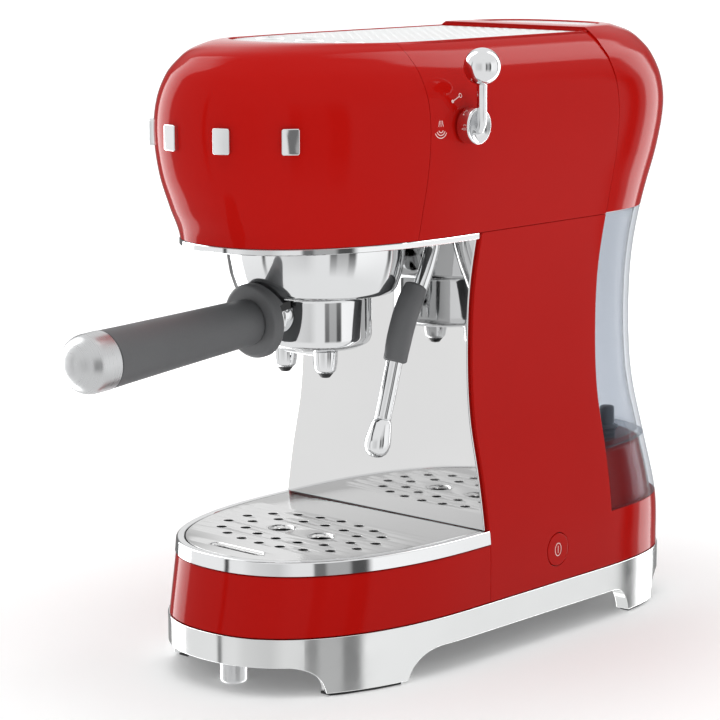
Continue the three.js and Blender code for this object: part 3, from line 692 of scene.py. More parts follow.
def base_skirt():
    """Upright wall round the plan line, which reaches lower where a foot stands."""
    edge = skirt_lower_edge()
    grow = -0.7
    section = SKIRT_TOP - 1
    half_way, count = 40, 161
    half = count // 2 + 1
    line = wrap_front(section, half_way, count, grow)[:half][::-1]
    line += wrap_rear(section, half_way, count, grow)[1:half]
    places = [(y, x) for x, y in line]
    front_tip, rear_tip = front_at(section), rear_at(section)
    places += [(y, reach(section, y, grow)) for y, _ in edge if front_tip < y < rear_tip]
    places.sort()
    outline = [places[0]]
    for y, x in places[1:]:
        if math.dist((y, x), outline[-1]) > 0.2:
            outline.append((y, x))

    def low_at(y):
        for (y0, z0), (y1, z1) in zip(edge, edge[1:]):
            if y0 <= y <= y1:
                return z0 + (z1 - z0) * (y - y0) / (y1 - y0)
        return BAND_LOW

    right = [(x, y, low_at(y)) for y, x in outline]
    first, last = (0.0, front_tip + grow, BAND_LOW), (0.0, rear_tip - grow, BAND_LOW)
    loop = [first, *right[1:], last, *[(-x, y, z) for x, y, z in right[:0:-1]]]
    rows = [[(x, y, z + (SKIRT_TOP - z) * t) for x, y, z in loop] for t in (0, 0.25, 0.5, 0.75, 1)]
    skirt = piece("chrome_base_skirt", [grid(rows, loop_columns=True)], BASE, "machine",
                  ["base_skirt"])
    thicken(skirt, (0, 20, 20), 8, 0.5)


base_skirt()

FOOT = [(0, 0), (6.3, 0), (7.1, 1.2), (7.1, 17.7), (0, 17.7)]
piece("levelling_foot", [turned(soft(FOOT, 0.5), 0, -116, steps=48)], SATIN, "machine",
      ["front_support_foot"])

SCREW = [(0, 16.2), (1.1, 16.2), (1.1, 15.7), (2.6, 15.7), (3.4, 16.4), (3.4, 18), (0, 18)]
screws = [turned(soft(SCREW, 0.2), x, y, steps=24) for x in (-50, 50) for y in (-60, 130)]
piece("bottom_screws", screws, BASE, "machine")

# ---------- drip tray ----------

TRAY_LOW = SKIRT_TOP + GAP
TUB_TOP = 67.3
TUB_INSET = 4


def tray_loop(z, inset, rear):
    return at_height(closed_line(wrap_front(z, rear, 121, inset)), z)


def tray_front():
    outer = [TRAY_LOW, TRAY_LOW + 0.3, *steps_between(TRAY_LOW + 1.5, RIM_LOW - 1.5, 3.5)]
    outer += [RIM_LOW - GAP - 0.3, RIM_LOW - GAP]
    insets = [0.3, *[0] * (len(outer) - 2), 0.3]
    rows = [tray_loop(z, inset, TRAY_REAR) for z, inset in zip(outer, insets)]
    rows += [tray_loop(z, WALL, -0.2) for z in (RIM_LOW - GAP, 46, TRAY_LOW + WALL)]
    shell = grid(rows, loop_columns=True, cap_first=True, cap_last=True)
    piece("tray_front_casing", [shell], RED, "drip_tray", ["tray_shell"])


def tray_tub():
    low = TRAY_LOW + WALL + GAP
    rows = [tray_loop(z, TUB_INSET, -0.6) for z in (low, 46, 60, TUB_TOP)]
    rows += [tray_loop(z, TUB_INSET + 1.8, -2.6) for z in (TUB_TOP, 60, 46, low + 1.9)]
    tub = grid(rows, loop_columns=True, cap_first=True, cap_last=True)
    piece("drip_tub", [tub], TUB, "drip_tray", ["tray_tub"])


def tray_rim():
    lip = 1.0
    turn = [math.pi / 2 * i / 5 for i in range(6)]
    levels = [(RIM_LOW, 0.0), (RIM_LOW + 0.4, -0.5), (RIM_LOW + 3, -0.5)]
    levels += [(TRAY_TOP - lip + lip * math.sin(a), -0.5 + lip * (1 - math.cos(a))) for a in turn]
    levels += [(TRAY_TOP, TUB_INSET - 0.6), (TRAY_TOP - 0.25, TUB_INSET - GAP)]
    levels += [(RIM_LOW + 2, TUB_INSET - GAP), (RIM_LOW, TUB_INSET - GAP)]
    rows = [tray_loop(z, inset, TRAY_REAR if inset < 1 else -0.2) for z, inset in levels]
    piece("tray_rim_band", [grid(rows, loop_rows=True, loop_columns=True)], CHROME, "drip_tray",
          ["tray_rim"])


tray_front()
tray_tub()
tray_rim()

# Holes of the grid: two drains, two rings of small holes round them, of which the right half is
# listed from front to back, and a finger slot.
DRAIN, SMALL_HOLE = 8.2, 2.7  # radii
DRAINS = [(-14.2, -64.7), (14.2, -64.7)]
OUTER_RING = [(0, -96.6), (13.8, -95.4), (27.4, -92.1), (39.4, -84.6), (46.5, -72.1),
              (46.5, -57.6), (39.4, -45.1), (27.5, -37.7), (14, -34.5), (0, -33.1)]
INNER_RING = [(0, -83.9), (14.5, -82.7), (28.4, -77.5), (35.6, -64.9), (28.4, -52.2),
              (14.6, -47.2), (0, -45.9)]
SLOT = (15, -113, 3.9)  # half length between the round ends, y and radius


def pressed_lip(line_at, wide, narrow, z0, z1):
    """Rolled lip of a pressed hole: it curves down from the plate and inwards."""
    rows = []
    for i in range(9):
        a = math.pi / 2 * i / 8
        size = narrow + (wide - narrow) * (1 - math.sin(a))
        rows.append(at_height(line_at(size), z0 + (z1 - z0) * math.cos(a)))
    return grid(rows, loop_columns=True)


def drip_grid():
    low = TUB_TOP + GAP
    outline = closed_line(wrap_front(TRAY_TOP, -0.5, 161, TUB_INSET + GAP), 2)
    holes = [circle(side * x, y, SMALL_HOLE, 28) for x, y in OUTER_RING + INNER_RING
             for side in ((1, -1) if x else (1,))]
    holes += [circle(x, y, DRAIN) for x, y in DRAINS] + [stadium(*SLOT)]
    plate = stamped("grid_plate", [outline, *holes], TRAY_TOP - 0.9, TRAY_TOP, 0.2)
    lip_top = TRAY_TOP - 0.06
    lips = [pressed_lip(lambda r, x=x, y=y: circle(x, y, r), DRAIN, 6.0, low, lip_top)
            for x, y in DRAINS]
    lips.append(pressed_lip(lambda r: stadium(*SLOT[:2], r), SLOT[2], 2.6, low, lip_top))
    skirt = [at_height(closed_line(wrap_front(TRAY_TOP, -0.5, 161, TUB_INSET + GAP + k), 2), z)
             for z, k in ((TRAY_TOP - 0.7, 0.15), (low, 0.15), (low, 1.0), (TRAY_TOP - 0.7, 1.0))]
    made = [plate, *lips, grid(skirt, loop_rows=True, loop_columns=True)]
    piece("pressed_drip_grid", made, BRUSHED, "drip_grid", ["drip_grid"], sharp=25)


drip_grid()

# ---------- column ----------

COLUMN_TOP = HEAD_LOW - GAP
SEAT_TOP = 94.5
LEDGE = 62.0
SEAT_INSET = 3.2


def lines_round(values, middle):
    """Numbers of the grid lines just before and just after the power button's hole."""
    margin = POWER_HOLE + 3.1
    before = next(i for i, value in enumerate(values) if value > middle - margin) - 1
    after = next(i for i, value in enumerate(values) if value > middle + margin)
    return before, after


def flank_with_hole(heights, depths):
    """The right flank with a round hole for the power button, whose edge follows the skin."""
    rows = [[(reach(z, y), y, z) for y in depths] for z in heights]
    points, _ = grid(rows)
    count = len(depths)
    _, y_hole, z_hole = POWER
    i0, i1 = lines_round(heights, z_hole)
    j0, j1 = lines_round(depths, y_hole)
    faces = [(i * count + j, i * count + j + 1, (i + 1) * count + j + 1, (i + 1) * count + j)
             for i in range(len(heights) - 1) for j in range(count - 1)
             if not (i0 <= i < i1 and j0 <= j < j1)]
    window = [i0 * count + j for j in range(j0, j1)] + [i * count + j1 for i in range(i0, i1)]
    window += [i1 * count + j for j in range(j1, j0, -1)]
    window += [i * count + j0 for i in range(i1, i0, -1)]
    last = window
    for share in (0.5, 1.0):
        fresh = []
        for corner in window:
            _, y, z = points[corner]
            angle = math.atan2(z - z_hole, y - y_hole)
            away = math.hypot(z - z_hole, y - y_hole) * (1 - share) + POWER_HOLE * share
            y, z = y_hole + away * math.cos(angle), z_hole + away * math.sin(angle)
            points.append((reach(z, y), y, z))
            fresh.append(len(points) - 1)
        for k in range(len(window)):
            n = (k + 1) % len(window)
            faces.append((last[k], last[n], fresh[n], fresh[k]))
        last = fresh
    return points, faces


def column_casing():
    lower = steps_between(TRAY_LOW, LEDGE, 3)
    heights = lower + steps_between(LEDGE, COLUMN_TOP, 3)[1:]
    depths = steps_between(COLUMN_FRONT, TANK_SEAM, 3)
    left = [[(-reach(z, y), y, z) for y in depths] for z in heights]
    front = [[(reach(z, 0) * (1 - i / 8), COLUMN_FRONT, z) for i in range(17)] for z in heights]
    rear = [at_height(wrap_rear(z, TANK_SEAM, 81), z) for z in lower]
    back = []
    for z in heights[len(lower) - 1:]:
        half = reach(z, TANK_SEAM)
        line = [(half, TANK_SEAM), *straight(half, -half, TANK_SEAM, 79), (-half, TANK_SEAM)]
        back.append(at_height(line, z))
    islands = [flank_with_hole(heights, depths), grid(left), grid(front), grid(rear + back)]
    column = piece("column_casing", islands, RED, "machine", ["column_shell"])
    thicken(column, (0, 50, 130), 2.2, 0.4)


def tank_seat():
    """The raised seat under the tank, closed on top."""
    edge = 1.6
    levels = [(z, SEAT_INSET) for z in steps_between(LEDGE - 1.5, SEAT_TOP - edge, 4)]
    levels += [(SEAT_TOP - edge + edge * math.sin(a), SEAT_INSET + edge * (1 - math.cos(a)))
               for a in (math.pi / 2 * i / 4 for i in range(1, 5))]
    rows = [at_height(closed_line(wrap_rear(z, TANK_SEAM - 0.5, 101, inset)), z)
            for z, inset in levels]
    seat = [grid(rows, loop_columns=True, cap_last=True)]
    piece("tank_seat", seat, RED, "machine")


column_casing()
tank_seat()


def splash_plate():
    heights = steps_between(TRAY_TOP + GAP, HEAD_LOW - 1, 3)
    right = [(side_at(z) - 1.8, z) for z in heights]
    outline = right + [(-x, z) for x, z in right[::-1]]
    upright = Matrix.Rotation(math.radians(90), 4, "X")
    plate = moved(stamped("splash", [outline], -TRAY_REAR, 0, 0.3), upright)
    piece("mirror_splash_plate", [plate], MIRROR, "machine", ["backsplash"], sharp=12)


splash_plate()

# ---------- head ----------

CREST = 327.3
OPENING = {"half": 51, "tip": -96, "power": 2.6}
RECESS_FLOOR = 325.4


def opening_half(y, grow):
    """Half width of the opening at a depth, grown by this many millimetres."""
    half, tip, power = OPENING["half"] + grow, OPENING["tip"] - grow, OPENING["power"]
    return half * (1 - max(0, y / tip) ** power) ** (1 / power)


def opening_edge(cut, count, grow):
    """The front end of the steel top's opening, from the right at y = cut to the left."""
    return round_end(OPENING["half"] + grow, 0, OPENING["tip"] - grow, OPENING["power"], cut, count)


def opening_height(y):
    """The opening's edge is level with the flanks, and rises to the head's flat front."""
    t = min(max((-40 - y) / 56, 0), 1)
    return 328.1 + (HEAD_TOP - 328.1) * t * t * (3 - 2 * t)


def crest_rows(skin, edge):
    """Rows from the last skin row over the crest to the opening's edge, and down inside it.
    edge(grow) gives the opening's plan line."""
    rows = []
    rim = [(x, y, opening_height(y)) for x, y in edge(0.5)]
    for i in range(1, 9):
        t = i / 8
        rise = 1 - (1 - t) ** 2.6
        rows.append([(ax + (bx - ax) * t, ay + (by - ay) * t, az + (bz - az) * rise)
                     for (ax, ay, az), (bx, by, bz) in zip(skin, rim)])
    for grow, drop in ((0.25, 0.08), (0.08, 0.25), (0, 0.5)):
        rows.append([(x, y, opening_height(y) - drop) for x, y in edge(grow)])
    rows.append([(x, y, RECESS_FLOOR) for x, y in edge(0)])
    return rows


def head_heights():
    """Levels of the head's skin, closer together where it curves in to the crest."""
    levels = steps_between(HEAD_LOW, 300, 3)
    return levels + steps_between(300, 320, 1.6)[1:] + steps_between(320, CREST, 0.7)[1:]


def front_cover():
    cut, count = COVER_SEAM - GAP / 2, 141
    rows = [at_height(wrap_front(z, cut, count), z) for z in head_heights()]
    rows += crest_rows(rows[-1], lambda grow: opening_edge(cut, count, grow))
    cover = piece("head_front_casing", [grid(rows)], RED, "machine",
                  ["head_front_cover"])
    thicken(cover, (0, -60, 280), 2.0, 0.3)


def head_casing():
    depths = steps_between(COVER_SEAM + GAP / 2, TANK_SEAM - GAP / 2, 3)
    islands = []
    for side in (1, -1):
        def flank_edge(grow):
            return [(side * opening_half(y, grow), y) for y in depths]

        rows = [[(side * reach(z, y), y, z) for y in depths] for z in head_heights()]
        rows += crest_rows(rows[-1], flank_edge)
        islands.append(grid(rows))
    casing = piece("head_side_casing", islands, RED, "machine", ["head_shell"])
    thicken(casing, (0, 30, 280), 2.0, 0.3)
    rear = TANK_SEAM - GAP / 2
    arch = [(51, 326), (51, 328.1), (49.5, 328.8), (46, HEAD_TOP)]
    arch = soft(arch + [(-x, z) for x, z in arch[::-1]], 0.8)
    rows = [[(x, y, z) for x, z in arch] for y in (rear - 1.0, rear)]
    bridge = [grid([[(x, rear - 1, 300) for x, _ in arch], rows[0], rows[1],
                    [(x, rear, 300) for x, _ in arch]], loop_rows=True)]
    piece("head_rear_bridge", bridge, RED, "machine")


def head_trim():
    levels = [(-0.1, TRIM_LOW), (-0.4, TRIM_LOW + 0.3), (-0.4, HEAD_LOW - 0.6),
              (-0.1, HEAD_LOW - GAP), (4, HEAD_LOW - GAP), (4, TRIM_LOW)]
    rows = [at_height(wrap_front(HEAD_LOW, -GAP, 181, inset), z) for inset, z in levels]
    points, faces = grid(rows, loop_rows=True)
    count = len(rows[0])
    faces += [tuple(i * count for i in range(len(rows)))]
    faces += [tuple(i * count + count - 1 for i in range(len(rows)))[::-1]]
    piece("head_trim_band", [(points, faces)], CHROME, "machine", ["head_trim"])


front_cover()
head_casing()
head_trim()

ORNAMENT = {"width": 9, "low": 276.6, "high": 289.6, "proud": 2.2}


def front_skin(x, z):
    """Depth of the body's front, this far to the side of its middle."""
    share = (1 - (abs(x) / side_at(z)) ** FRONT_POWER) ** (1 / FRONT_POWER)
    return FRONT_CENTRE + (front_at(z) - FRONT_CENTRE) * share


def ornament_outline(inset):
    """Upright bar with round corners, seen from the front."""
    corner = 1.2
    half_x = ORNAMENT["width"] / 2 - corner
    half_z = (ORNAMENT["high"] - ORNAMENT["low"]) / 2 - corner
    centres = [(half_x, half_z), (-half_x, half_z), (-half_x, -half_z), (half_x, -half_z)]
    return [(x + (corner - inset) * math.cos(a), z + (corner - inset) * math.sin(a))
            for quarter, (x, z) in enumerate(centres)
            for a in (math.pi / 2 * (quarter + k / 5) for k in range(6))]


def front_ornaments():
    """Four plain upright bars that stand on the head's front, each square to the skin there."""
    islands = []
    middle = (ORNAMENT["low"] + ORNAMENT["high"]) / 2
    for x in (-42, -11.5, 21, 47.5):
        y, ahead = front_skin(x, middle), front_skin(x + 0.5, middle)
        turn = Matrix.Rotation(math.atan2(ahead - y, 0.5), 4, "Z")
        stand = Matrix.Translation((x, y, middle)) @ turn @ Matrix.Rotation(math.pi / 2, 4, "X")
        bar = prism(ornament_outline, edge_levels(-1.2, ORNAMENT["proud"], 0.5))
        islands.append(moved(bar, stand))
    piece("front_ornament_bars", islands, CHROME, "machine")


front_ornaments()

# ---------- tank lid ----------

INSERT = {"half": 40, "front": 124, "rear": 157, "power": 2.4, "low": 328}


def insert_line(inset, count):
    return round_end(INSERT["half"] - inset, INSERT["front"] + inset, INSERT["rear"] - inset,
                     INSERT["power"], INSERT["front"] + inset, count)


def lid_casing():
    cut, count, across = TANK_SEAM + GAP / 2, 121, 30
    lid_low = HEAD_LOW + 0.6
    stretch = LID_RISE / (HEAD_TOP - HEAD_LOW)
    heights = [lid_low] + head_heights()[1:] + [328, 328.6]
    rows = [at_height(closed_line(wrap_rear(z, cut, count), across),
                      z + stretch * (z - HEAD_LOW)) for z in heights]
    top = HEAD_TOP + LID_RISE
    target = at_height(closed_line(insert_line(-0.4, count), across), top)
    last = rows[-1]
    for i in range(1, 9):
        t = i / 8
        rise = 1 - (1 - t) ** 3
        rows.append([(ax + (bx - ax) * t, ay + (by - ay) * t, az + (bz - az) * rise)
                     for (ax, ay, az), (bx, by, bz) in zip(last, target)])
    for grow, drop in ((0.15, 0.12), (0, 0.4)):
        rows.append(at_height(closed_line(insert_line(-grow, count), across), top - drop))
    rows.append(at_height(closed_line(insert_line(0, count), across), INSERT["low"]))
    lid = piece("tank_lid_casing", [grid(rows, loop_columns=True, cap_last=True)], RED,
                "tank_lid", ["tank_lid"])
    thicken(lid, (0, 140, 280), 2.0, 0.3)
    plate = stamped("lid_plate", [closed_line(insert_line(GAP, 97), 2)], INSERT["low"] + GAP,
                    INSERT["low"] + 1.6)
    piece("lid_inlay", [plate], PALE_STEEL, "tank_lid", ["lid_insert"], sharp=20)


lid_casing()

# ---------- steel top: control panel, cup plate, buttons ----------

STUD = {"radius": 1.75, "high": 0.35, "pitch": 3.3}


def top_outline(inset, front, rear):
    """Plan line of the steel top between two depths, right side first."""
    if front < OPENING["tip"]:
        return closed_line(opening_edge(rear, 121, -inset), 2)
    right = [(opening_half(y, -inset), y) for y in steps_between(front, rear, 3)]
    return right[::-1] + [(-x, y) for x, y in right]


def stud(x, y):
    """One low round stud, pressed up from the plate."""
    rows = []
    for i in range(4):
        turn = math.pi / 2 * i / 3
        radius = STUD["radius"] * math.cos(turn) if i < 3 else 0.12
        height = PLATE_TOP - 0.03 + STUD["high"] * math.sin(turn)
        rows.append(at_height(circle(x, y, radius, 14), height))
    return grid(rows, loop_columns=True, cap_last=True)


def steel_top():
    holes = [circle(x, BUTTON_Y, BUTTON_RADIUS + GAP) for x in BUTTONS.values()]
    holes.append(circle(LAMP[0], LAMP[1], LAMP[2] + GAP))
    front = stamped("panel", [top_outline(GAP, -200, PANEL_REAR - GAP / 2), *holes],
                    PLATE_TOP - 2.4, PLATE_TOP)
    piece("steel_control_panel", [front], PALE_STEEL, "machine", ["control_panel"],
          sharp=20)
    rear = TANK_SEAM - 1.2 - GAP
    plate = stamped("cup_top", [top_outline(GAP, PANEL_REAR + GAP / 2, rear)],
                    PLATE_TOP - 2.4, PLATE_TOP)
    studs = []
    first = PANEL_REAR + 7
    for j in range(int((rear - 5 - first) / STUD["pitch"]) + 1):
        for i in range(-13, 14):
            if (i + j) % 2 == 0:
                studs.append(stud(i * STUD["pitch"], first + j * STUD["pitch"]))
    piece("embossed_cup_plate", [plate, *studs], PALE_STEEL, "machine", ["cup_plate"],
          sharp=40)


def keys_and_lamp():
    key = [(0, 319), (2.5, 319), (2.5, 322.2), (9.1, 322.2), (9.1, 323.6), (7.5, 323.6),
           (7.5, 328), (6.9, 328.4), (5.5, 328.25), (0, 328.15)]
    for name, x in BUTTONS.items():
        top = turned(soft(key, 0.4), x, BUTTON_Y, steps=64)
        piece(name.replace("button", "key"), [top], PALE_STEEL, name, [name])
    dome = [(0, 319), (LAMP[2], 319), (LAMP[2], PLATE_TOP - 0.3), (1.9, PLATE_TOP + 0.1),
            (0, PLATE_TOP + 0.2)]
    piece("lamp_lens", [turned(soft(dome, 0.3), LAMP[0], LAMP[1], steps=32)], WHITE, "machine",
          ["ready_lamp"])


steel_top()
keys_and_lamp()


def stroke(line, width, onto):
    """A printed stroke along a line. onto(a, b) puts one of its points on the surface."""
    rows = [[], []]
    for i, (a, b) in enumerate(line):
        a0, b0 = line[max(i - 1, 0)]
        a1, b1 = line[min(i + 1, len(line) - 1)]
        away = math.hypot(a1 - a0, b1 - b0)
        side_a, side_b = (b0 - b1) / away * width / 2, (a1 - a0) / away * width / 2
        for row, side in zip(rows, (-1, 1)):
            row.append(onto(a + side * side_a, b + side * side_b))
    return grid(rows)


def on_key(x, y):
    return (x, y, KEY_FACE)


def on_panel(x, y):
    return (x, y, PLATE_TOP + 0.04)


def on_side(y, z):
    """A hair off the right side, from depth and height."""
    return (reach(z, y) + 0.06, y, z)


def cup_sign(x, y, cups):
    """One or two small cups, seen from the side: a bowl, its rim and a saucer line."""
    made = []
    for k in range(cups):
        cx = x + (k - (cups - 1) / 2) * 4.6
        bowl = [(cx + 1.6 * math.cos(a), y + 1.5 * math.sin(a))
                for a in (math.pi * (1 + i / 12) for i in range(13))]
        made += [stroke(bowl, 0.5, on_key), stroke([(cx - 1.8, y), (cx + 1.8, y)], 0.5, on_key)]
        made.append(stroke([(cx - 1.2, y - 2.2), (cx + 1.2, y - 2.2)], 0.45, on_key))
    return made


def steam_sign(x, y):
    """Three short waves over a line."""
    made = [stroke([(x - 2.4, y - 1.8), (x + 2.4, y - 1.8)], 0.5, on_key)]
    for k in (-1, 0, 1):
        wave = [(x + k * 1.5 + 0.35 * math.sin(i * 0.9), y - 1 + i * 0.4) for i in range(8)]
        made.append(stroke(wave, 0.45, on_key))
    return made


KEY_FACE = 328.48
piece("one_cup_sign", cup_sign(-29, -55, 1), BLACK_INK, "one_cup_button")
piece("two_cup_sign", cup_sign(-1, -56, 2), BLACK_INK, "two_cup_button")
piece("steam_sign", steam_sign(27, -59), BLACK_INK, "steam_button")
lamp_line = [(LAMP[0] + 4.2, LAMP[1]), (LAMP[0] + 9.5, LAMP[1])]
piece("lamp_sign", [stroke(lamp_line, 0.7, on_panel)], BLACK_INK, "machine")

# ---------- signs on the curved side ----------


def arc(y, z, radius, start, end):
    turn = [math.radians(start + (end - start) * i / 16) for i in range(17)]
    return [(y + radius * math.cos(a), z + radius * math.sin(a)) for a in turn]


def tap_turn_sign():
    """Closed-valve sign: a slanted line between a small ring and a dot."""
    ring = stroke(arc(-22.5, 301.3, 1.0, 0, 360), 0.4, on_side)
    line = stroke([(-23.5, 300.9), (-28.4, 298.9)], 0.45, on_side)
    dot = stroke(arc(-29.0, 298.7, 0.5, 0, 360), 0.8, on_side)
    return [ring, line, dot]


def steam_jet_sign():
    """Open-valve sign: three jets over a rippled dish."""
    made = [stroke([(-39 + k * 0.9, 289.6), (-39 + k * 1.6, 286.6)], 0.4, on_side)
            for k in (-1, 0, 1)]
    for radius, start in ((1.6, 200), (3.0, 200), (4.4, 205)):
        made.append(stroke(arc(-39, 285.2, radius, start, 540 - start), 0.45, on_side))
    return made


piece("tap_turn_sign", tap_turn_sign(), PALE_INK, "machine")
piece("steam_jet_sign", steam_jet_sign(), PALE_INK, "machine")


def power_key():
    """Round red key flush with the skin, with a printed ring and bar that move with it."""
    _, y, z = POWER
    start = 63
    face = reach(z, y) + 0.15
    length = face - start
    profile = [(0, 0), (4, 0), (4, 6.8), (9, 6.8), (9, length - 0.1), (8.6, length), (0, length)]
    along_x = Matrix.Translation((start, y, z)) @ Matrix.Rotation(math.pi / 2, 4, "Y")
    piece("power_key", [moved(turned(soft(profile, 0.3), steps=64), along_x)], RED,
          "power_button", ["power_button"])

    def on_face(a, b):
        return (face + 0.05, a, b)

    ring = [(y + 2.6 * math.cos(a), z + 3.5 * math.sin(a))
            for a in (2 * math.pi * i / 32 for i in range(33))]
    bar = [(y, z - 2), (y, z + 2)]
    sign = [stroke(line, 0.45, on_face) for line in (ring, bar)]
    piece("power_sign", sign, PALE_INK, "power_button")


power_key()

# ---------- water tank ----------


def water_tank():
    """Clear tank: a box open at the top, over a skirt that is open towards the column."""
    low, top, cut = LEDGE + GAP, HEAD_LOW - 0.2, TANK_SEAM + GAP
    count, across = 121, 30

    def loop(z, inset, front):
        return at_height(closed_line(wrap_rear(z, front, count, inset), across), z)

    outer = steps_between(TANK_FLOOR, top - 0.6, 4)
    rows = [loop(z, 0, cut) for z in outer] + [loop(top, 0.5, cut + 0.5)]
    rows += [loop(top, WALL - 0.5, cut + WALL - 0.5)]
    rows += [loop(z, WALL, cut + WALL) for z in steps_between(TANK_FLOOR + WALL, top - 0.6, 4)[::-1]]
    box = grid(rows, loop_columns=True, cap_first=True, cap_last=True)
    heights = steps_between(low, TANK_FLOOR - 0.05, 4)
    lines = [at_height(wrap_rear(z, cut, count), z) for z in heights]
    lines += [at_height(wrap_rear(z, cut, count, WALL), z) for z in heights[::-1]]
    points, faces = grid(lines, loop_rows=True)
    faces += [tuple(i * count for i in range(len(lines)))]
    faces += [tuple(i * count + count - 1 for i in range(len(lines)))[::-1]]
    piece("clear_water_tank", [box, (points, faces)], TANK, "water_tank", ["water_tank"])


water_tank()

DOME = [(0, 91), (4.9, 91), (4.9, 99.9), (6.4, 99.9), (6.4, 101.4), (4.4, 102), (4.2, 111.6),
        (3.4, 112.6), (0, 113)]
piece("valve_dome", [turned(soft(DOME, 0.7), *VALVE, steps=48)], VALVE_PLASTIC, "water_tank",
      ["tank_valve"])

# ---------- coffee group ----------

COLLAR = [(41, 198), (42.6, 200), (45.2, 208), (46.6, 217), (47, 225), (47, 233), (42, 233),
          (42, 216), (39, 213), (39, 198)]
piece("group_shroud", [turned(ring_profile(COLLAR, 0.8), *GROUP, ring=True, steps=128)], CHROME,
      "machine", ["group_collar"])

BOWL = [(24.5, 169), (28, 171), (29.2, 174), (29.2, 196), (34.4, 199.5), (34.4, 207.8), (31.5, 207.8),
        (31.5, 205.9), (27.3, 205.9), (27.3, 174), (4, 174), (4, 169.4)]


def holder_bowl():
    bowl = turned(soft(BOWL, 1.2), *GROUP, steps=128)
    floor = turned([(4, 169), (24.5, 169)], *GROUP, steps=128)
    ears = []
    for middle in (30, 150, 270):
        turn = [math.radians(middle - 12 + 24 * i / 12) for i in range(13)]
        rows = [[(GROUP[0] + r * math.cos(a), GROUP[1] + r * math.sin(a), z) for a in turn]
                for r, z in ((33.5, 203), (37.6, 203), (38, 203.5), (38, 206), (37.6, 206.4),
                             (33.5, 206.4))]
        ears.append(grid(rows, loop_rows=True))
    piece("filter_holder_bowl", [bowl, floor, *ears], CHROME, "filter_holder",
          ["holder_body"])


holder_bowl()

SPOUT_X, SPOUT_Y = 14.4, -61


def double_spout():
    levels = edge_levels(165.4, 168.7, 1.2)
    bridge = prism(lambda inset: stadium(SPOUT_X, SPOUT_Y, 5.4 - inset), levels)
    cup = [(3.2, 167), (3.2, 156.8), (4.6, 156.8), (5.6, 158), (6.3, 162), (6.6, 168.4), (5, 168.4)]
    cups = [turned(soft(cup, 0.5), x, SPOUT_Y, steps=48) for x in (-SPOUT_X, SPOUT_X)]
    piece("double_spout_block", [bridge, *cups], CHROME, "filter_holder",
          ["double_spout"])
    for side, x in (("left", -SPOUT_X), ("right", SPOUT_X)):
        tip = [(1.7, 154.2), (2.3, 154.2), (4.2, 156.6), (4.2, 157.4), (1.7, 157.4)]
        ring = turned(ring_profile(tip, 0.3), x, SPOUT_Y, ring=True, steps=48)
        piece(f"spout_nozzle_{side}", [ring], BLACK, "filter_holder",
              [f"spout_tip_{side}"])


double_spout()

# The handle's frame: its Z runs out along the grip from the guard, and its Y points up.
HANDLE = Matrix.Translation(HANDLE_START) @ Matrix.Rotation(
    math.radians(90 + HANDLE_DROOP), 4, "X")


def on_handle(profile, ring=False):
    return moved(turned(profile, ring=ring), HANDLE)


def handle_block(half, along0, along1, up0, up1):
    return moved(block(-half, half, up0, up1, along0, along1), HANDLE)


bowl_space = turned([(0, 150), (29.5, 150), (29.5, 215), (0, 215)], *GROUP, steps=128)
collar_space = turned([(0, 196.8), (42.5, 196.8), (44, 200), (46.6, 208), (48, 217), (48, 235),
                       (0, 235)], *GROUP, steps=128)

NECK = [(0, -26), (10, -26), (10, -16.5), (9.2, -15), (9.2, -5.6), (0, -5.6)]
neck = carve([on_handle(soft(NECK, 0.8))], bowl_space, handle_block(12, -22, -5, 4.1, 20))
piece("chrome_neck", neck, CHROME, "filter_holder", ["holder_neck"])

DISC = [(0, -5.1), (19.1, -5.1), (19.3, -4.9), (19.3, -1.2), (17.9, 0.4), (0, 0.4)]
HOOD = [(7.6, -18.5), (9.6, -19), (13.6, -14.5), (17.4, -9), (19.2, -4.7), (16, -4.7), (12, -10)]


def guard():
    hood = carve([on_handle(ring_profile(HOOD, 0.4), ring=True)],
                 handle_block(40, -40, 0, -40, 8.9), collar_space, bowl_space)
    piece("guard_hood", hood, GREY, "filter_holder")
    disc = carve([on_handle(soft(DISC, 0.9))], collar_space)
    piece("guard_disc", disc, GREY, "filter_holder", ["handle_guard"])


guard()

insulator = carve([handle_block(11, -19, -6, 4.4, 8.4)], bowl_space)
piece("heat_insulator", insulator, BLACK, "filter_holder", ["neck_insulator"])

GRIP = [(0, 0.9), (11.6, 0.9), (12, 3), (12.4, 20), (13, 45), (13.6, 68), (14.2, 90),
        (14.6, 101.6), (0, 101.6)]
piece("handle_grip_sleeve", [on_handle(soft(GRIP, 0.7))], GREY, "filter_holder",
      ["handle_grip"])
CAP = [(0, 101.9), (14.3, 101.9), (14.8, 102.4)]
CAP += [(14.8 * math.cos(a), 111 + 13.5 * math.sin(a))
        for a in (math.pi / 2 * i / 16 for i in range(17))]
piece("handle_cap", [on_handle(CAP)], SATIN, "filter_holder", ["handle_end_cap"])

# ---------- steam lever and wand ----------

HUB = [(0, 0), (4, 0), (4, 18.9), (9, 18.9), (9.4, 19.5), (9.4, 26.2), (9.1, 26.8), (8.6, 26.9),
       (7.6, 26.2), (5.4, 25.0), (2.8, 24.3), (0, 24.1)]
HUB_START = (56.4, LEVER[1], LEVER[2])


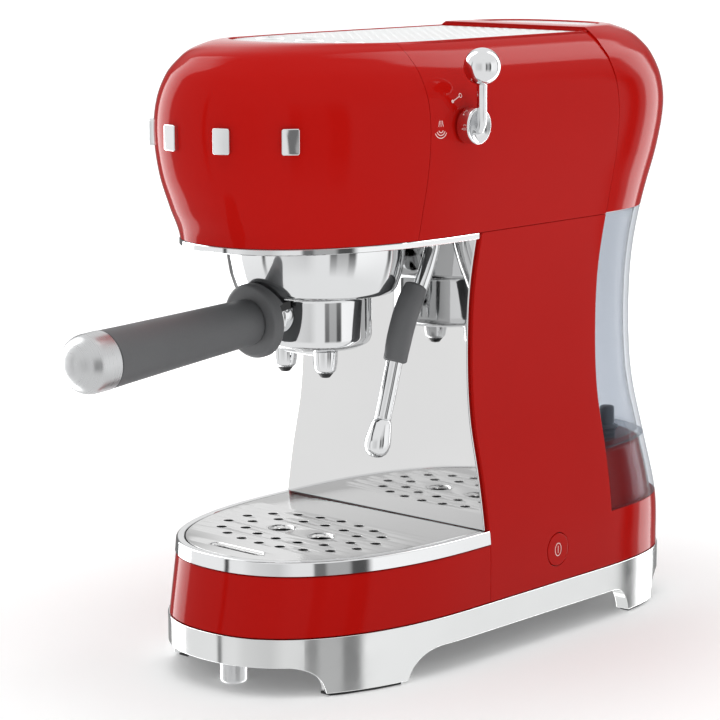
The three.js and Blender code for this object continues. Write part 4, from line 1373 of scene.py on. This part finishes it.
def steam_lever():
    along_x = Matrix.Translation(HUB_START) @ Matrix.Rotation(math.pi / 2, 4, "Y")
    hub = moved(turned(soft(HUB, 0.5), steps=64), along_x)
    stem = [(80.6, -17.2, 283.5), (82.4, -17.6, 288), (83.3, -18.6, 295), (84.2, -19.8, 302),
            (84.9, -20.6, 308)]
    bar = swept(stem, [2.4, 2.6, 2.6, 2.6, 2.6])
    piece("lever_casting", [hub, bar], CHROME, "steam_lever", ["lever_arm"])
    radius = 9.5
    ball = [(radius * math.cos(a), radius * math.sin(a))
            for a in (math.pi * (i / 48 - 0.5) for i in range(1, 48))]
    ball = [(0, -radius), *ball, (0, radius)]
    knob = moved(turned(ball, steps=96), Matrix.Translation((85.3, -21, 316.4)))
    piece("lever_knob", [knob], CHROME, "steam_lever", ["lever_ball"])


steam_lever()


def in_wand(y, z):
    return (WAND_X, y, z)


def steam_wand():
    joint = [(0, 222), (5, 222), (6, 223.4), (6, 228.9), (9.5, 229.8), (9.5, 237), (0, 237)]
    piece("wand_swivel", [turned(soft(joint, 0.6), WAND_X, -11, steps=64)], CHROME, "steam_wand",
          ["wand_joint"])
    pipe = [in_wand(-11.6, 222.4), in_wand(-12.4, 218.3), in_wand(-16.3, 209.4),
            in_wand(-20.5, 201.5), in_wand(-26, 191)]
    piece("wand_upper_pipe", [swept(pipe, [4.1] * 5)], CHROME, "steam_wand",
          ["wand_pipe"])
    sleeve = [in_wand(-25.0, 200.5), in_wand(-29.5, 193), in_wand(-33.4, 186),
              in_wand(-37.6, 175.5), in_wand(-40.9, 164.4)]
    piece("wand_grip_sleeve", [swept(sleeve, [6.0, 6.7, 6.7, 6.6, 6.2])], GREY, "steam_wand",
          ["wand_grip"])
    tube = [in_wand(-41, 165.5), in_wand(-43.6, 157), in_wand(-46, 149), in_wand(-50.6, 134.6)]
    piece("wand_lower_tube", [swept(tube, [4.4] * 4)], CHROME, "steam_wand",
          ["wand_tube"])
    nozzle = [(0, 0), (4.5, 0), (4.9, 0.5), (5.4, 2.5), (6.4, 8), (6.75, 10.4), (6.75, 13),
              (6.3, 15.3), (5.4, 17.2), (3.8, 18.8), (2, 19.6), (0, 19.8)]
    down = Matrix.Rotation(math.radians(180 - 18), 4, "X")
    down = Matrix.Translation(in_wand(-50.8, 134.1)) @ down
    piece("wand_tip", [moved(turned(nozzle, steps=64), down)], CHROME, "steam_wand",
          ["wand_nozzle"])


steam_wand()

# ---------- CAD nodes that keep their shape ----------

KEPT = {
    RUBBER: ["foot_pad_front_left", "foot_pad_front_right", "foot_pad_rear_left",
             "foot_pad_rear_right", "tank_seat_ring", "group_gasket"],
    BLACK: ["bottom_plate", "head_under_plate", "power_switch", "pump", "cable_gland"],
    BRASS: ["group_head", "steam_valve"],
    ALUMINIUM: ["bayonet_ring", "boiler"],
    BRUSHED: ["shower_screen", "filter_basket"],
    BOARD: ["keypad_board", "control_board"],
    WHITE: ["supply_hose", "pressure_hose"],
}


def smoothing():
    """Node modifier that shades a faceted solid smooth below a 32 degree turn."""
    group = bpy.data.node_groups.new("smooth_shallow_edges", "GeometryNodeTree")
    group.interface.new_socket("Geometry", in_out="INPUT", socket_type="NodeSocketGeometry")
    group.interface.new_socket("Geometry", in_out="OUTPUT", socket_type="NodeSocketGeometry")
    inlet = add(group, "NodeGroupInput")
    faces = add(group, "GeometryNodeSetShadeSmooth", {0: inlet.outputs[0], 2: True}, domain="FACE")
    angle = add(group, "GeometryNodeInputMeshEdgeAngle")
    shallow = add(group, "FunctionNodeCompare", {0: angle.outputs[0], 1: math.radians(32)},
                  data_type="FLOAT", operation="LESS_THAN")
    edges = add(group, "GeometryNodeSetShadeSmooth", {0: faces.outputs[0], 2: shallow.outputs[0]},
                domain="EDGE")
    add(group, "NodeGroupOutput", {0: edges.outputs[0]})
    return group


SMOOTHING = smoothing()
for finish, names in KEPT.items():
    for name in names:
        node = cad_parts[name]
        if not node.material_slots:
            node.data.materials.append(finish)
        node.material_slots[0].material = finish
        node.modifiers.new("smooth_shallow_edges", "NODES").node_group = SMOOTHING

# ---------- floor, light and camera ----------


def studio_floor():
    mesh = bpy.data.meshes.new("studio_floor")
    size = 40
    corners = [(-size, -size, 0), (size, -size, 0), (size, size, 0), (-size, size, 0)]
    mesh.from_pydata(corners, [], [(0, 1, 2, 3)])
    # Matt white painted board: it glows a little away from the machine, so that it stays white.
    material, tree, shader = begin("matt_white_board", "#F4F4F4", 0, 0.9, {
        "Emission Color": (1, 1, 1, 1)})
    where = add(tree, "ShaderNodeTexCoord").outputs["Object"]
    distance = add(tree, "ShaderNodeVectorMath", {0: where}, operation="LENGTH").outputs["Value"]
    glow = add(tree, "ShaderNodeMapRange", {"Value": distance, "From Min": 0.15, "From Max": 0.7,
                                            "To Min": 0.12, "To Max": 0.55})
    tree.links.new(glow.outputs[0], shader.inputs["Emission Strength"])
    vary(tree, shader, mottle(tree, 300), colours=("#F2F2F2", "#F6F6F6"))
    mesh.materials.append(material)
    floor = bpy.data.objects.new("studio_floor", mesh)
    floor.visible_glossy = False
    bpy.context.scene.collection.objects.link(floor)


def overhead_lamp():
    """A wide lamp above; the lacquer shows only the tent, not the lamp."""
    data = bpy.data.lights.new("overhead", "AREA")
    data.shape = "RECTANGLE"
    data.size, data.size_y = 1.8, 1.8
    data.energy = 22
    lamp = bpy.data.objects.new("overhead", data)
    lamp.location = (0.1, -0.3, 2.0)
    lamp.visible_glossy = False
    bpy.context.scene.collection.objects.link(lamp)


# What polished surfaces show, by bearing in degrees from +X: (bearing, brightness).
TENT = [(-180, 1.1), (-122, 1.1), (-120, 0.08), (-117, 0.08), (-115, 1.05), (-100, 1.05),
        (-88, 0.88), (-60, 0.76), (-46, 1.0), (-30, 1.0), (-28, 0.2), (-21, 0.2), (-19, 0.5),
        (-5, 0.5), (-3, 0.1), (5, 0.1), (8, 1.25), (58, 1.15), (61, 0.12), (65, 0.12),
        (68, 1.1), (92, 1.0), (96, 0.25), (116, 0.25), (122, 0.9), (139, 0.9), (143, 0.2),
        (164, 0.2), (168, 1.1), (180, 1.1)]
STRIPS = [(-180, 1), (-162, 1), (-160, 0), (71, 0), (73, 1), (90, 1), (92, 0), (166, 0), (168, 1),
          (180, 1)]
STRIP_BRIGHTNESS = 4
BRIGHTEST = 1.5
EVEN_LIGHT = 0.52


def by_bearing(tree, share, stops):
    """Brightness ramp round the horizon."""
    ramp = add(tree, "ShaderNodeValToRGB", {0: share})
    elements = ramp.color_ramp.elements
    for _ in stops[2:]:
        elements.new(0.5)
    for element, (bearing, value) in zip(elements, stops):
        element.position = (bearing + 180) / 360
        element.color = (*[value / BRIGHTEST] * 3, 1)
    return ramp.outputs[0]


def studio_world():
    """A pale tent. Polished surfaces see darker stretches and two tall bright strips in it;
    everything else is lit evenly, and behind the object it is plain white."""
    world = bpy.data.worlds.new("studio_tent")
    bpy.context.scene.world = world
    world.use_nodes = True
    tree = world.node_tree
    tree.nodes.clear()
    where = add(tree, "ShaderNodeTexCoord").outputs["Generated"]
    parts = add(tree, "ShaderNodeSeparateXYZ", {0: where})
    bearing = add(tree, "ShaderNodeMath", {0: parts.outputs[1], 1: parts.outputs[0]},
                  operation="ARCTAN2")
    share = add(tree, "ShaderNodeMapRange", {"Value": bearing.outputs[0], "From Min": -math.pi,
                                             "From Max": math.pi}).outputs[0]
    height = add(tree, "ShaderNodeMath", {0: parts.outputs[2]}, operation="ABSOLUTE").outputs[0]
    away = add(tree, "ShaderNodeMapRange", {"Value": height, "From Min": 0.22, "From Max": 0.5})
    even = (*[1.0 / BRIGHTEST] * 3, 1)
    tent = add(tree, "ShaderNodeMix", {0: away.outputs[0], 6: by_bearing(tree, share, TENT),
                                       7: even}, data_type="RGBA")
    high = add(tree, "ShaderNodeMapRange", {"Value": height, "From Min": 0.75, "From Max": 0.92,
                                            "To Min": 1.0, "To Max": 0.0})
    strips = add(tree, "ShaderNodeMix", {0: high.outputs[0], 6: (0, 0, 0, 1),
                                         7: by_bearing(tree, share, STRIPS)}, data_type="RGBA")
    bright = add(tree, "ShaderNodeVectorMath", {
        0: strips.outputs[2], 1: [STRIP_BRIGHTNESS] * 3}, operation="MULTIPLY")
    both = add(tree, "ShaderNodeVectorMath", {0: tent.outputs[2], 1: bright.outputs[0]},
               operation="ADD")
    mirrored = add(tree, "ShaderNodeBackground", {"Color": both.outputs[0],
                                                  "Strength": BRIGHTEST})
    soft_light = add(tree, "ShaderNodeBackground", {
        "Color": (1, 1, 1, 1), "Strength": EVEN_LIGHT})
    plain = add(tree, "ShaderNodeBackground", {"Color": (1, 1, 1, 1), "Strength": 1.0})
    path = add(tree, "ShaderNodeLightPath").outputs
    lit = add(tree, "ShaderNodeMixShader", {0: path["Is Diffuse Ray"], 1: plain.outputs[0],
                                            2: soft_light.outputs[0]})
    mixed = add(tree, "ShaderNodeMixShader", {0: path["Is Glossy Ray"], 1: lit.outputs[0],
                                              2: mirrored.outputs[0]})
    add(tree, "ShaderNodeOutputWorld", {0: mixed.outputs[0]})


def camera():
    """A long lens at the front right, a little above the machine's top."""
    data = bpy.data.cameras.new("camera")
    data.lens = 131.6
    data.sensor_width = 36
    eye = bpy.data.objects.new("camera", data)
    eye.location = (0.91965, -1.03363, 0.4038)
    eye.rotation_euler = (math.radians(79.875), 0, math.radians(42.03))
    bpy.context.scene.collection.objects.link(eye)
    bpy.context.scene.camera = eye


studio_floor()
studio_world()
overhead_lamp()
camera()
bpy.context.scene.view_settings.view_transform = "Standard"
